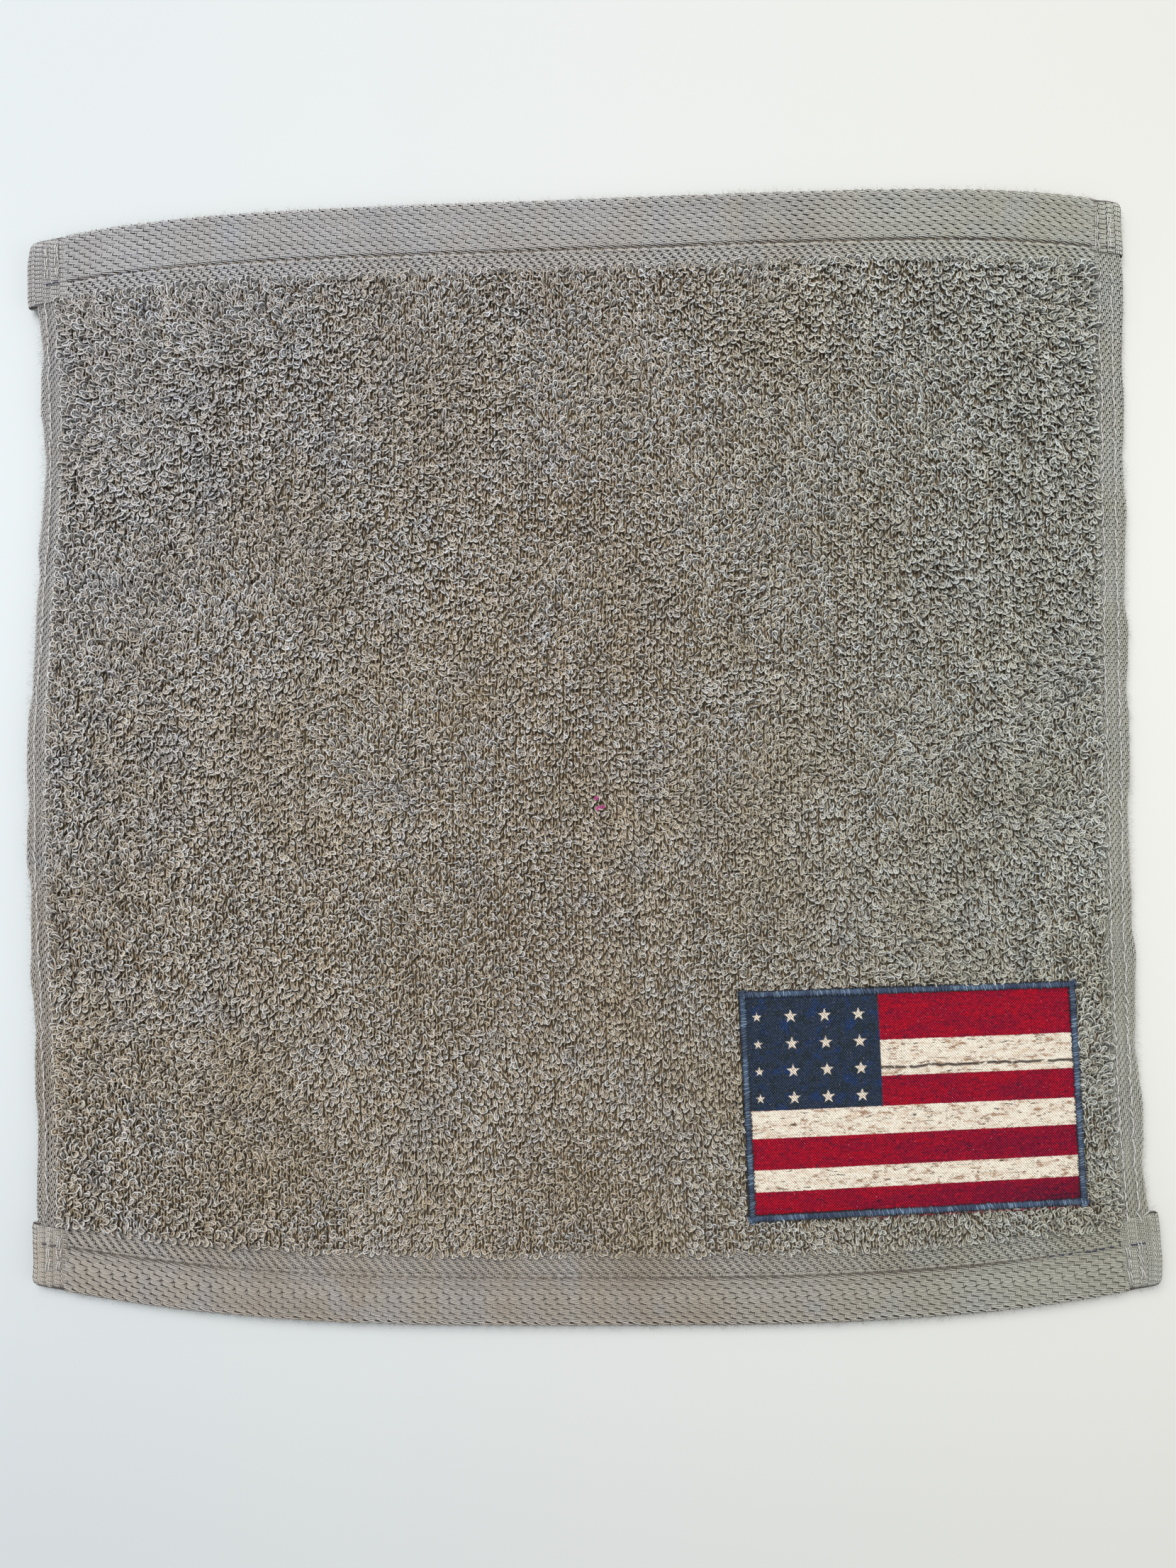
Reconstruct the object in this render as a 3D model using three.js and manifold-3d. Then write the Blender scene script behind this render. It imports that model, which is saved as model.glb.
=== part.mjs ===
// Small square terry towel with dobby hem bands, folded side hems and a sewn-on flag patch.
// Millimetres, +Z up, lying flat and face up, with the origin under the middle of the cloth.
import * as THREE from 'three';
import { mergeVertices } from 'three/addons/utils/BufferGeometryUtils.js';
import Module from 'manifold-3d';

const wasm = await Module();
wasm.setup();

// Driving dimensions of the laid-out cloth.
const CLOTH_WIDTH = 330;
const CLOTH_HEIGHT = 330;
const CORNERS = {
  bottomLeft: [-160.8, -156.4],
  bottomRight: [165.8, -156.4],
  topRight: [159.6, 164.8],
  topLeft: [-165.6, 152.5],
};
const TOP_BOW = 7.2;
const BOTTOM_BOW = 11.6;
const TOP_BOW_POWER = 5;
const BOW_POWER = 3;
const LEFT_WAVE = 2.8;
const LEFT_WAVE_CREST = -8;
const LEFT_WAVE_ABOVE = 215;
const LEFT_WAVE_BELOW = 380;
const RIGHT_WAIST = 5.4;
const RIGHT_WAIST_POWER = 6;
const EDGE_STEPS = 20;
const FOLD_STEPS = 4;

// Heights of the layers above the table.
const GAP = 0.3;
const BACK_PILE_TOP = 1.5;
const GROUND_TOP = 2.4;
const FRONT_PILE_TOP = 4.6;
const CRUSHED_PILE_TOP = 3.3;
const PILE_ROUNDING = 0.6;
const HEM_LAYER = 1;
const HEM_TOP = 2.4;
const CORNER_TOP = 3;

// Widths measured inwards from the edge of the cloth.
const BANDS = {
  top: { width: 16.2, flat: 4.8, seam: 15 },
  bottom: { width: 14.6, flat: 5.4, seam: 13.4 },
};
const LEFT_HEM_WIDTH = 8;
const RIGHT_HEM_WIDTH = 9.4;
const CORNER_WIDTH = 9.4;
const CORNER_LENGTHS = { bottom_left: 19, bottom_right: 21.4, top_right: 16.8, top_left: 20.8 };
const CORNER_PROUD = { bottom_left: 1.6, bottom_right: 2.2, top_right: 0.6, top_left: 2.4 };
const STITCH_INSETS = {
  left: { outer: 2.6, inner: 5.8 },
  right: { outer: 3.1, inner: 6.9 },
};
const THREAD_WIDTH = 0.7;
const THREAD_HEIGHT = 0.4;

// The patch, turned slightly anticlockwise.
const PATCH_WIDTH = 98.8;
const PATCH_HEIGHT = 66.2;
const PATCH_CENTRE = [94.6, -102.2];
const PATCH_TURN = THREE.MathUtils.degToRad(2.5);
const BORDER_WIDTH = 2.3;
const BORDER_HEIGHT = 1.6;
const BACKING_THICKNESS = 0.3;
const PRINT_THICKNESS = 0.5;

const COLOURS = {
  pile: 0x8b857c,
  ground: 0x7b6f60,
  band: 0xa39e96,
  hem: 0xa8a49b,
  stitch: 0xe4e0d6,
  seam: 0x3b4358,
  print: 0xa82043,
  backing: 0xd9d2c4,
  border: 0x4a5775,
};

// --- The outline of the cloth -------------------------------------------------------------

function chord(from, to, s) {
  return [from[0] + (to[0] - from[0]) * s, from[1] + (to[1] - from[1]) * s];
}

function bow(s, power = BOW_POWER) {
  return 1 - Math.abs(2 * s - 1) ** power;
}

function bottomEdge(s) {
  const [x, y] = chord(CORNERS.bottomLeft, CORNERS.bottomRight, s);
  return [x, y - BOTTOM_BOW * bow(s)];
}

function topEdge(s) {
  const [x, y] = chord(CORNERS.topLeft, CORNERS.topRight, s);
  return [x, y + TOP_BOW * bow(s, TOP_BOW_POWER)];
}

function leftEdge(s) {
  const [x, y] = chord(CORNERS.bottomLeft, CORNERS.topLeft, s);
  const waveLength = y > LEFT_WAVE_CREST ? LEFT_WAVE_ABOVE : LEFT_WAVE_BELOW;
  const phase = (2 * Math.PI * (y - LEFT_WAVE_CREST)) / waveLength;
  return [x - LEFT_WAVE * Math.cos(phase) * bow(s), y];
}

function rightEdge(s) {
  const [x, y] = chord(CORNERS.bottomRight, CORNERS.topRight, s);
  const waist = (1 - s) * (1 - (1 - s) ** RIGHT_WAIST_POWER);
  return [x - RIGHT_WAIST * waist, y];
}

// A point of the cloth from its share u of the width and share v of the height.
function clothPoint(u, v) {
  const [bottom, top, left, right] = [bottomEdge(u), topEdge(u), leftEdge(v), rightEdge(v)];
  const low = chord(CORNERS.bottomLeft, CORNERS.bottomRight, u);
  const high = chord(CORNERS.topLeft, CORNERS.topRight, u);
  const straight = chord(low, high, v);
  return [0, 1].map((axis) => (1 - v) * bottom[axis] + v * top[axis]
    + (1 - u) * left[axis] + u * right[axis] - straight[axis]);
}

// A point beside one edge: s runs anticlockwise round the cloth, inset runs inwards.
const EDGES = {
  bottom: (s, inset) => clothPoint(s, inset / CLOTH_HEIGHT),
  right: (s, inset) => clothPoint(1 - inset / CLOTH_WIDTH, s),
  top: (s, inset) => clothPoint(1 - s, 1 - inset / CLOTH_HEIGHT),
  left: (s, inset) => clothPoint(inset / CLOTH_WIDTH, 1 - s),
};

// --- Ways of making a layer ------------------------------------------------------------------

// A flat layer between insets from the four edges.
function layer(insets, low, high, rounding = 0) {
  const [u0, u1] = [insets.left / CLOTH_WIDTH, 1 - insets.right / CLOTH_WIDTH];
  const [v0, v1] = [insets.bottom / CLOTH_HEIGHT, 1 - insets.top / CLOTH_HEIGHT];
  const corners = [[u0, v0], [u1, v0], [u1, v1], [u0, v1]];
  const outline = corners.flatMap((corner, side) => {
    const next = corners[(side + 1) % corners.length];
    return Array.from({ length: EDGE_STEPS }, (_, step) => {
      const [u, v] = chord(corner, next, step / EDGE_STEPS);
      return new THREE.Vector2(...clothPoint(u, v));
    });
  });
  const geometry = new THREE.ExtrudeGeometry(new THREE.Shape(outline), {
    depth: high - low - 2 * rounding,
    bevelEnabled: rounding > 0,
    bevelThickness: rounding,
    bevelSize: rounding,
    bevelOffset: -rounding,
    bevelSegments: 2,
  });
  return geometry.translate(0, 0, low + rounding);
}

// A profile of (inset, height) swept along one edge from s0 to s1.
function strip(edge, s0, s1, profile, steps = EDGE_STEPS) {
  const geometry = new THREE.ExtrudeGeometry(profile, {
    depth: 1,
    steps,
    bevelEnabled: false,
    curveSegments: FOLD_STEPS,
  });
  const position = geometry.attributes.position;
  for (let i = 0; i < position.count; i += 1) {
    const s = s0 + (s1 - s0) * position.getZ(i);
    const [x, y] = EDGES[edge](s, position.getX(i));
    position.setXYZ(i, x, y, position.getY(i));
  }
  geometry.computeVertexNormals();
  return geometry;
}

// Cloth folded back under itself: two layers joined by a round fold at the edge.
function foldedProfile(width, height) {
  const radius = height / 2;
  const slot = radius - HEM_LAYER;
  const shape = new THREE.Shape();
  shape.moveTo(width, 0);
  shape.lineTo(width, HEM_LAYER);
  shape.lineTo(radius, HEM_LAYER);
  shape.absarc(radius, radius, slot, 1.5 * Math.PI, 0.5 * Math.PI, true);
  shape.lineTo(width, height - HEM_LAYER);
  shape.lineTo(width, height);
  shape.lineTo(radius, height);
  shape.absarc(radius, radius, radius, 0.5 * Math.PI, 1.5 * Math.PI, false);
  return shape;
}

function flatProfile(start, end, low, high) {
  return new THREE.Shape([
    new THREE.Vector2(start, low),
    new THREE.Vector2(end, low),
    new THREE.Vector2(end, high),
    new THREE.Vector2(start, high),
  ]);
}

function threadProfile(inset, low) {
  const half = THREAD_WIDTH / 2;
  return new THREE.Shape([
    new THREE.Vector2(inset - half, low),
    new THREE.Vector2(inset + half, low),
    new THREE.Vector2(inset + half / 2, low + THREAD_HEIGHT),
    new THREE.Vector2(inset - half / 2, low + THREAD_HEIGHT),
  ]);
}

function solid(geometry) {
  const bare = geometry.clone();
  bare.deleteAttribute('normal');
  bare.deleteAttribute('uv');
  const merged = mergeVertices(bare, 1e-4);
  return new wasm.Manifold(new wasm.Mesh({
    numProp: 3,
    vertProperties: new Float32Array(merged.attributes.position.array),
    triVerts: new Uint32Array(merged.index.array),
  }));
}

function geometryOf(manifold) {
  const mesh = manifold.getMesh();
  const geometry = new THREE.BufferGeometry();
  geometry.setAttribute('position', new THREE.BufferAttribute(mesh.vertProperties, 3));
  geometry.setIndex(new THREE.BufferAttribute(mesh.triVerts, 1));
  geometry.computeVertexNormals();
  return geometry;
}

const group = new THREE.Group();

function add(name, geometry, color, roughness = 0.95, parent = group) {
  const material = new THREE.MeshStandardMaterial({ color, roughness, metalness: 0 });
  const mesh = new THREE.Mesh(geometry, material);
  mesh.name = name;
  parent.add(mesh);
  return mesh;
}

// --- The woven cloth and its two faces of loops ------------------------------------------------

const fieldInsets = {
  left: LEFT_HEM_WIDTH + GAP,
  right: RIGHT_HEM_WIDTH + GAP,
  top: BANDS.top.width + BANDS.top.flat + GAP,
  bottom: BANDS.bottom.width + BANDS.bottom.flat + GAP,
};

add('ground_cloth', layer(fieldInsets, BACK_PILE_TOP + GAP, GROUND_TOP), COLOURS.ground);
add('back_pile', layer(fieldInsets, 0, BACK_PILE_TOP), COLOURS.pile);

function placeOnPatch(object, height) {
  object.position.set(PATCH_CENTRE[0], PATCH_CENTRE[1], height);
  object.rotation.z = PATCH_TURN;
  object.updateMatrix();
  return object;
}

// The loops are crushed flat where the patch is sewn down over them.
function frontPile() {
  const pile = layer(fieldInsets, GROUND_TOP + GAP, FRONT_PILE_TOP, PILE_ROUNDING);
  const depth = FRONT_PILE_TOP - CRUSHED_PILE_TOP;
  const clearance = 2 * GAP;
  const pocket = new THREE.BoxGeometry(PATCH_WIDTH + clearance, PATCH_HEIGHT + clearance, 2 * depth);
  const placed = placeOnPatch(new THREE.Object3D(), FRONT_PILE_TOP);
  pocket.applyMatrix4(placed.matrix);
  return geometryOf(solid(pile).subtract(solid(pocket)));
}

add('front_pile', frontPile(), COLOURS.pile);

// --- The hem bands, folded under at the top and bottom ------------------------------------------

const bandRun = [(CORNER_WIDTH + GAP) / CLOTH_WIDTH, 1 - (CORNER_WIDTH + GAP) / CLOTH_WIDTH];

for (const [edge, band] of Object.entries(BANDS)) {
  const folded = foldedProfile(band.width - GAP, HEM_TOP);
  const flat = flatProfile(band.width, band.width + band.flat, HEM_TOP - HEM_LAYER, HEM_TOP);
  const seam = threadProfile(band.seam, HEM_TOP + GAP);
  add(`${edge}_hem_band`, strip(edge, ...bandRun, folded), COLOURS.band);
  add(`${edge}_flat_strip`, strip(edge, ...bandRun, flat), COLOURS.band);
  add(`${edge}_hem_seam`, strip(edge, ...bandRun, seam), COLOURS.seam, 0.7);
}

// --- The side hems, each with two rows of stitches ------------------------------------------------

const sideHems = {
  left: [LEFT_HEM_WIDTH, 'top_left', 'bottom_left'],
  right: [RIGHT_HEM_WIDTH, 'bottom_right', 'top_right'],
};

for (const [edge, [width, first, last]] of Object.entries(sideHems)) {
  const sideRun = [
    (CORNER_LENGTHS[first] + GAP) / CLOTH_HEIGHT,
    1 - (CORNER_LENGTHS[last] + GAP) / CLOTH_HEIGHT,
  ];
  add(`${edge}_side_hem`, strip(edge, ...sideRun, foldedProfile(width, HEM_TOP)), COLOURS.hem);
  for (const [row, inset] of Object.entries(STITCH_INSETS[edge])) {
    const thread = threadProfile(inset, HEM_TOP + GAP);
    add(`${edge}_${row}_stitches`, strip(edge, ...sideRun, thread), COLOURS.stitch, 0.6);
  }
}

// --- The corners, where the side hem is folded inside the hem band -------------------------------

const cornerPlaces = {
  bottom_left: ['bottom', 'start'],
  bottom_right: ['bottom', 'end'],
  top_right: ['top', 'start'],
  top_left: ['top', 'end'],
};

for (const [corner, [edge, end]] of Object.entries(cornerPlaces)) {
  const inner = CORNER_WIDTH / CLOTH_WIDTH;
  const outer = -CORNER_PROUD[corner] / CLOTH_WIDTH;
  const span = end === 'start' ? [outer, inner] : [1 - inner, 1 - outer];
  const profile = foldedProfile(CORNER_LENGTHS[corner], CORNER_TOP);
  add(`${corner}_corner_fold`, strip(edge, ...span, profile, 2), COLOURS.hem);
}

// --- The patch: backing, printed cloth and its satin-stitched border -----------------------------

const patch = placeOnPatch(new THREE.Group(), 0);
group.add(patch);

const innerWidth = PATCH_WIDTH - 2 * (BORDER_WIDTH + GAP);
const innerHeight = PATCH_HEIGHT - 2 * (BORDER_WIDTH + GAP);
const backingLow = CRUSHED_PILE_TOP + GAP;
const printLow = backingLow + BACKING_THICKNESS + GAP;

function patchSheet(low, thickness) {
  const sheet = new THREE.BoxGeometry(innerWidth, innerHeight, thickness);
  return sheet.translate(0, 0, low + thickness / 2);
}

add('patch_backing', patchSheet(backingLow, BACKING_THICKNESS), COLOURS.backing, 0.9, patch);
add('patch_print_cloth', patchSheet(printLow, PRINT_THICKNESS), COLOURS.print, 0.85, patch);

// One run of border stitches: upright sides with a rounded crown, centred on its own length.
function borderRun(length) {
  const half = BORDER_WIDTH / 2;
  const shoulder = BORDER_HEIGHT - half;
  const section = new THREE.Shape();
  section.moveTo(-half, 0);
  section.lineTo(half, 0);
  section.lineTo(half, shoulder);
  section.absarc(0, shoulder, half, 0, Math.PI, false);
  const run = new THREE.ExtrudeGeometry(section, { depth: length, bevelEnabled: false, curveSegments: 8 });
  return run.translate(0, 0, -length / 2).rotateX(Math.PI / 2);
}

const borderSides = [
  ['bottom', PATCH_WIDTH, 0, -1, Math.PI / 2],
  ['top', PATCH_WIDTH, 0, 1, Math.PI / 2],
  ['left', innerHeight, -1, 0, 0],
  ['right', innerHeight, 1, 0, 0],
];

for (const [side, length, across, up, turn] of borderSides) {
  const run = add(`patch_border_${side}`, borderRun(length), COLOURS.border, 0.6, patch);
  const x = (across * (PATCH_WIDTH - BORDER_WIDTH)) / 2;
  const y = (up * (PATCH_HEIGHT - BORDER_WIDTH)) / 2;
  run.position.set(x, y, backingLow);
  run.rotation.z = turn;
}

// The origin lies under the middle of the whole cloth.
const box = new THREE.Box3().setFromObject(group);
const middle = box.getCenter(new THREE.Vector3());
group.position.set(-middle.x, -middle.y, -box.min.z);

export default group;
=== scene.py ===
"""Small square terry towel with dobby hem bands, stitched side hems and a sewn-on flag patch."""
import collections
import math

import bpy
import numpy as np
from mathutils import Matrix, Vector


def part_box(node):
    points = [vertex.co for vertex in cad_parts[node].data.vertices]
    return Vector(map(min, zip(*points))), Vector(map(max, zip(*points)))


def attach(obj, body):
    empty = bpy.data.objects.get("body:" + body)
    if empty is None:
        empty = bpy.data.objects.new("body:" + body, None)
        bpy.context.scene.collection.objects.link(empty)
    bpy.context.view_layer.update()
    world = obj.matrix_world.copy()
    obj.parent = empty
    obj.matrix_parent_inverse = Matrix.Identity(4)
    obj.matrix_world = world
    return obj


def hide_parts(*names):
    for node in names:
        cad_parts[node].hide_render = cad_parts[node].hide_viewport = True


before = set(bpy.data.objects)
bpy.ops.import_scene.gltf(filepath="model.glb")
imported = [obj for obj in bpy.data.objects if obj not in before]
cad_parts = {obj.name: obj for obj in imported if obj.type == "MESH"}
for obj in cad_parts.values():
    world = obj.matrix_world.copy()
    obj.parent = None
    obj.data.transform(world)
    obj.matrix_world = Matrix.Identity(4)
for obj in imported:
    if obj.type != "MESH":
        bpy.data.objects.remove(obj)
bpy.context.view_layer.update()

bl_info = {
    "name": "Terry Golf Towel",
    "version": (1, 0, 0),
    "blender": (4, 5, 0),
    "location": "3D View > Sidebar > Towel",
    "description": "Builds a laid-out terry towel, yarn by yarn, round its frame",
    "category": "Add Mesh",
}

MM = 0.001

# The laid-out cloth, in millimetres, as in the frame.
CLOTH_WIDTH = 330.0
CLOTH_HEIGHT = 330.0
BOTTOM_LEFT = (-160.8, -156.4)
BOTTOM_RIGHT = (165.8, -156.4)
TOP_RIGHT = (159.6, 164.8)
TOP_LEFT = (-165.6, 152.5)
TOP_BOW = 7.2
BOTTOM_BOW = 11.6
TOP_BOW_POWER = 5
BOW_POWER = 3
LEFT_WAVE = 2.8
LEFT_WAVE_CREST = -8.0
LEFT_WAVE_ABOVE = 215.0
LEFT_WAVE_BELOW = 380.0
RIGHT_WAIST = 5.4
RIGHT_WAIST_POWER = 6

GROUND_TOP = 2.4
HEM_TOP = 2.4
CORNER_TOP = 3.0
# For each hem band: its width, the flat strip's width beside it, and how far in its seam lies.
BANDS = {"top": (16.2, 4.8, 15.3), "bottom": (14.6, 5.4, 13.7)}
LEFT_HEM_WIDTH = 8.0
RIGHT_HEM_WIDTH = 9.4
CORNER_WIDTH = 9.4
# How far in the rows of stitches on the side hems lie.
STITCH_INSETS = {"left": {"outer": 2.7, "inner": 5.9}, "right": {"outer": 3.2, "inner": 7.0}}
# Yarns stand a little proud of the surface they lie on, so the surface starts this far in.
YARN_ROOM = 0.5

# The patch, in millimetres. Its place comes from the frame.
PATCH_CENTRE = (94.6, -102.2)
PATCH_WIDTH = 98.8
PATCH_HEIGHT = 66.2
PATCH_TURN = math.radians(2.5)
PATCH_TAPER = 0.016
BORDER_WIDTH = 2.3
PRINT_TOP = 4.5

# The frame is centred on its whole box, so the outline moves over by what the patch's box shows.
patch_low, patch_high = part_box("patch_print_cloth")
SHIFT = (
    (patch_low[0] + patch_high[0]) / 2 / MM - PATCH_CENTRE[0],
    (patch_low[1] + patch_high[1]) / 2 / MM - PATCH_CENTRE[1],
)

# Where the random draws of each group of pieces start.
SEEDS = {"feet": 1012, "front": 2024, "back": 4048, "stitches": 31, "border": 57, "fibres": 91}


# --- The outline of the cloth ------------------------------------------------------

def lerp(start, end, share):
    return start + (end - start) * share


def bow(share, power=BOW_POWER):
    return 1 - np.abs(2 * share - 1) ** power


def cloth_point(u, v):
    """x and y of the point at share u of the width and share v of the height."""
    u, v = np.asarray(u, float), np.asarray(v, float)
    bottom = (
        lerp(BOTTOM_LEFT[0], BOTTOM_RIGHT[0], u),
        lerp(BOTTOM_LEFT[1], BOTTOM_RIGHT[1], u) - BOTTOM_BOW * bow(u),
    )
    top = (
        lerp(TOP_LEFT[0], TOP_RIGHT[0], u),
        lerp(TOP_LEFT[1], TOP_RIGHT[1], u) + TOP_BOW * bow(u, TOP_BOW_POWER),
    )
    left_y = lerp(BOTTOM_LEFT[1], TOP_LEFT[1], v)
    wave_length = np.where(left_y > LEFT_WAVE_CREST, LEFT_WAVE_ABOVE, LEFT_WAVE_BELOW)
    phase = 2 * math.pi * (left_y - LEFT_WAVE_CREST) / wave_length
    left_x = lerp(BOTTOM_LEFT[0], TOP_LEFT[0], v) - LEFT_WAVE * np.cos(phase) * bow(v)
    right_y = lerp(BOTTOM_RIGHT[1], TOP_RIGHT[1], v)
    waist = (1 - v) * (1 - np.abs(1 - v) ** RIGHT_WAIST_POWER)
    right_x = lerp(BOTTOM_RIGHT[0], TOP_RIGHT[0], v) - RIGHT_WAIST * waist
    straight = [
        lerp(
            lerp(BOTTOM_LEFT[axis], BOTTOM_RIGHT[axis], u),
            lerp(TOP_LEFT[axis], TOP_RIGHT[axis], u),
            v,
        )
        for axis in (0, 1)
    ]
    x = (1 - v) * bottom[0] + v * top[0] + (1 - u) * left_x + u * right_x - straight[0]
    y = (1 - v) * bottom[1] + v * top[1] + (1 - u) * left_y + u * right_y - straight[1]
    return x, y


EDGES = {
    "bottom": lambda s, inset: cloth_point(s, inset / CLOTH_HEIGHT),
    "right": lambda s, inset: cloth_point(1 - inset / CLOTH_WIDTH, s),
    "top": lambda s, inset: cloth_point(1 - s, 1 - inset / CLOTH_HEIGHT),
    "left": lambda s, inset: cloth_point(inset / CLOTH_WIDTH, 1 - s),
}


def smooth_noise(x, y, size, seed):
    """Smooth random hills between 0 and 1, size millimetres apart."""
    cells = 96
    lattice = np.random.default_rng(seed).random((cells, cells))
    fx, fy = np.asarray(x, float) / size + 40.0, np.asarray(y, float) / size + 40.0
    ix, iy = np.floor(fx).astype(int), np.floor(fy).astype(int)
    tx, ty = fx - ix, fy - iy
    tx, ty = tx * tx * (3 - 2 * tx), ty * ty * (3 - 2 * ty)
    ix, iy, jx, jy = ix % cells, iy % cells, (ix + 1) % cells, (iy + 1) % cells
    low = lerp(lattice[iy, ix], lattice[iy, jx], tx)
    high = lerp(lattice[jy, ix], lattice[jy, jx], tx)
    return lerp(low, high, ty)


def cloth_lift(x, y):
    """How far the laid cloth stands off the table, in soft swells."""
    swell = 0.55 * smooth_noise(x, y, 62.0, 11) + 0.3 * smooth_noise(x, y, 23.0, 12)
    return 0.12 + swell


# --- Meshes from arrays ------------------------------------------------------------

def join(*values):
    """Arrays side by side along a new last axis, spread to one shape first."""
    return np.stack(np.broadcast_arrays(*values), axis=-1)


def unit(vectors):
    length = np.linalg.norm(vectors, axis=-1, keepdims=True)
    return vectors / np.maximum(length, 1e-9)


# The corners of a face, as its steps along and across.
AROUND = ((0, 0), (0, 1), (1, 1), (1, 0))
UPWARD = np.array([[[0.0, 0.0, 1.0]]])


class MeshParts:
    """Gathers points, faces and map corners in millimetres, and makes one object of them."""

    def __init__(self):
        self.points = []
        self.faces = []
        self.groups = []
        self.count = 0

    def add(self, points, faces, corners):
        """points (n, 3); faces (m, k) indices; corners (m, k, 2) map places in 0..1 of a private square."""
        self.points.append(points.reshape(-1, 3))
        self.faces.extend(block + self.count for block in faces)
        self.groups.append([corner.reshape(-1, 2) for corner in corners])
        self.count += len(self.points[-1])

    def tubes(self, paths, radius, normal, sides=4, capped=True):
        """Round yarns along paths (n, k, 3); normal (n, 1, 3) or (n, k, 3) stays across each yarn."""
        n, k, _ = paths.shape
        tangent = unit(np.gradient(paths, axis=1))
        across = unit(np.cross(tangent, np.broadcast_to(normal, paths.shape)))
        up = np.cross(across, tangent)
        radius = np.broadcast_to(np.asarray(radius, float), (n, k))[..., None]
        turn = (np.arange(sides) + 0.5) * 2 * math.pi / sides
        rings = [
            paths + radius * (math.cos(a) * across + math.sin(a) * up) for a in turn
        ]
        points = np.stack(rings, axis=2)
        base = np.arange(n)[:, None, None] * (k * sides)
        ring = np.arange(k - 1)[None, :, None] * sides
        side = np.arange(sides)[None, None, :]
        after = (side + 1) % sides
        here, there = base + ring + side, base + ring + after
        quads = join(here, there, there + sides, here + sides)
        cols = max(1, round(math.sqrt(n * sides / (k - 1)))) if k < 40 else 1
        rows = math.ceil(n / cols)
        cell = np.arange(n)
        cell_u, cell_v = (cell % cols)[:, None, None], (cell // cols)[:, None, None]
        pad = 0.1
        us = [cell_u + lerp(pad, 1 - pad, (np.arange(k - 1)[None, :, None] + d) / (k - 1)) for d in (0, 1)]
        vs = [cell_v + lerp(pad, 1 - pad, (side + d) / sides) for d in (0, 1)]
        corner = np.stack([join(us[a] / cols, vs[b] / rows) for a, b in AROUND], axis=-2)
        faces, corners = [quads.reshape(-1, 4)], [corner.reshape(-1, 4, 2)]
        if capped:
            for start, order in ((0, np.arange(sides)[::-1]), ((k - 1) * sides, np.arange(sides))):
                cap = np.arange(n)[:, None] * (k * sides) + start + order[None, :]
                edge = pad / 2 if start == 0 else 1 - pad / 2
                place = np.empty((n, sides, 2))
                place[..., 0] = (cell[:, None] % cols + edge) / cols
                place[..., 1] = (cell[:, None] // cols + (order + 0.5) / sides * (1 - 2 * pad) + pad) / rows
                faces.append(cap)
                corners.append(place)
        self.add(points, faces, corners)

    def leaves(self, outline, normal, plump):
        """Small closed lenses inside outlines (n, k, 3), plump millimetres thick each way."""
        n, k, _ = outline.shape
        middle = outline.mean(axis=1, keepdims=True)
        rim = middle + (outline - middle) * 0.85
        points = np.concatenate([rim, middle + normal * plump, middle - normal * plump], axis=1)
        base = np.arange(n)[:, None] * (k + 2)
        here = np.arange(k)[None, :]
        after = (here + 1) % k
        tip = base + k + 0 * here
        upper = join(tip, base + after, base + here)
        lower = join(tip + 1, base + here, base + after)
        cols = math.ceil(math.sqrt(n))
        cell = np.arange(n)[:, None, None]
        cell = np.concatenate([cell % cols, cell // cols], -1) / cols
        corners = []
        for left, ring in ((0.25, (after, here)), (0.75, (here, after))):
            places = [np.zeros((1, k, 2))]
            for spot in ring:
                turn = spot * 2 * math.pi / k
                places.append(join(np.cos(turn), np.sin(turn)) * (0.2, 0.4))
            shape = (n, k, 2)
            places = [np.broadcast_to((place + (left, 0.5)) / cols, shape) + cell for place in places]
            corners.append(np.stack(places, axis=2).reshape(-1, 3, 2))
        self.add(points, [upper.reshape(-1, 3), lower.reshape(-1, 3)], corners)

    def sweep(self, sections):
        """A closed skin through sections (n, m, 3), each a closed ring, with flat ends."""
        n, m, _ = sections.shape
        row = np.arange(n - 1)[:, None] * m
        side = np.arange(m)[None, :]
        after = (side + 1) % m
        quads = join(row + side, row + after, row + m + after, row + m + side)
        v = np.arange(n - 1)[:, None] / (n - 1)
        corner = np.stack(
            [join((side + b) / m, 0.02 + 0.96 * (v + a / (n - 1))) for a, b in AROUND], axis=-2
        )
        order = np.arange(m)
        ring = join(0.5 + 0.5 * np.cos(order), 0.01 + 0.005 * np.sin(order))[None]
        caps = [order[::-1][None, :], (order + (n - 1) * m)[None, :]]
        self.add(
            sections,
            [quads.reshape(-1, 4), *caps],
            [corner.reshape(-1, 4, 2), ring[:, ::-1], ring + (0, 0.98)],
        )

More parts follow.
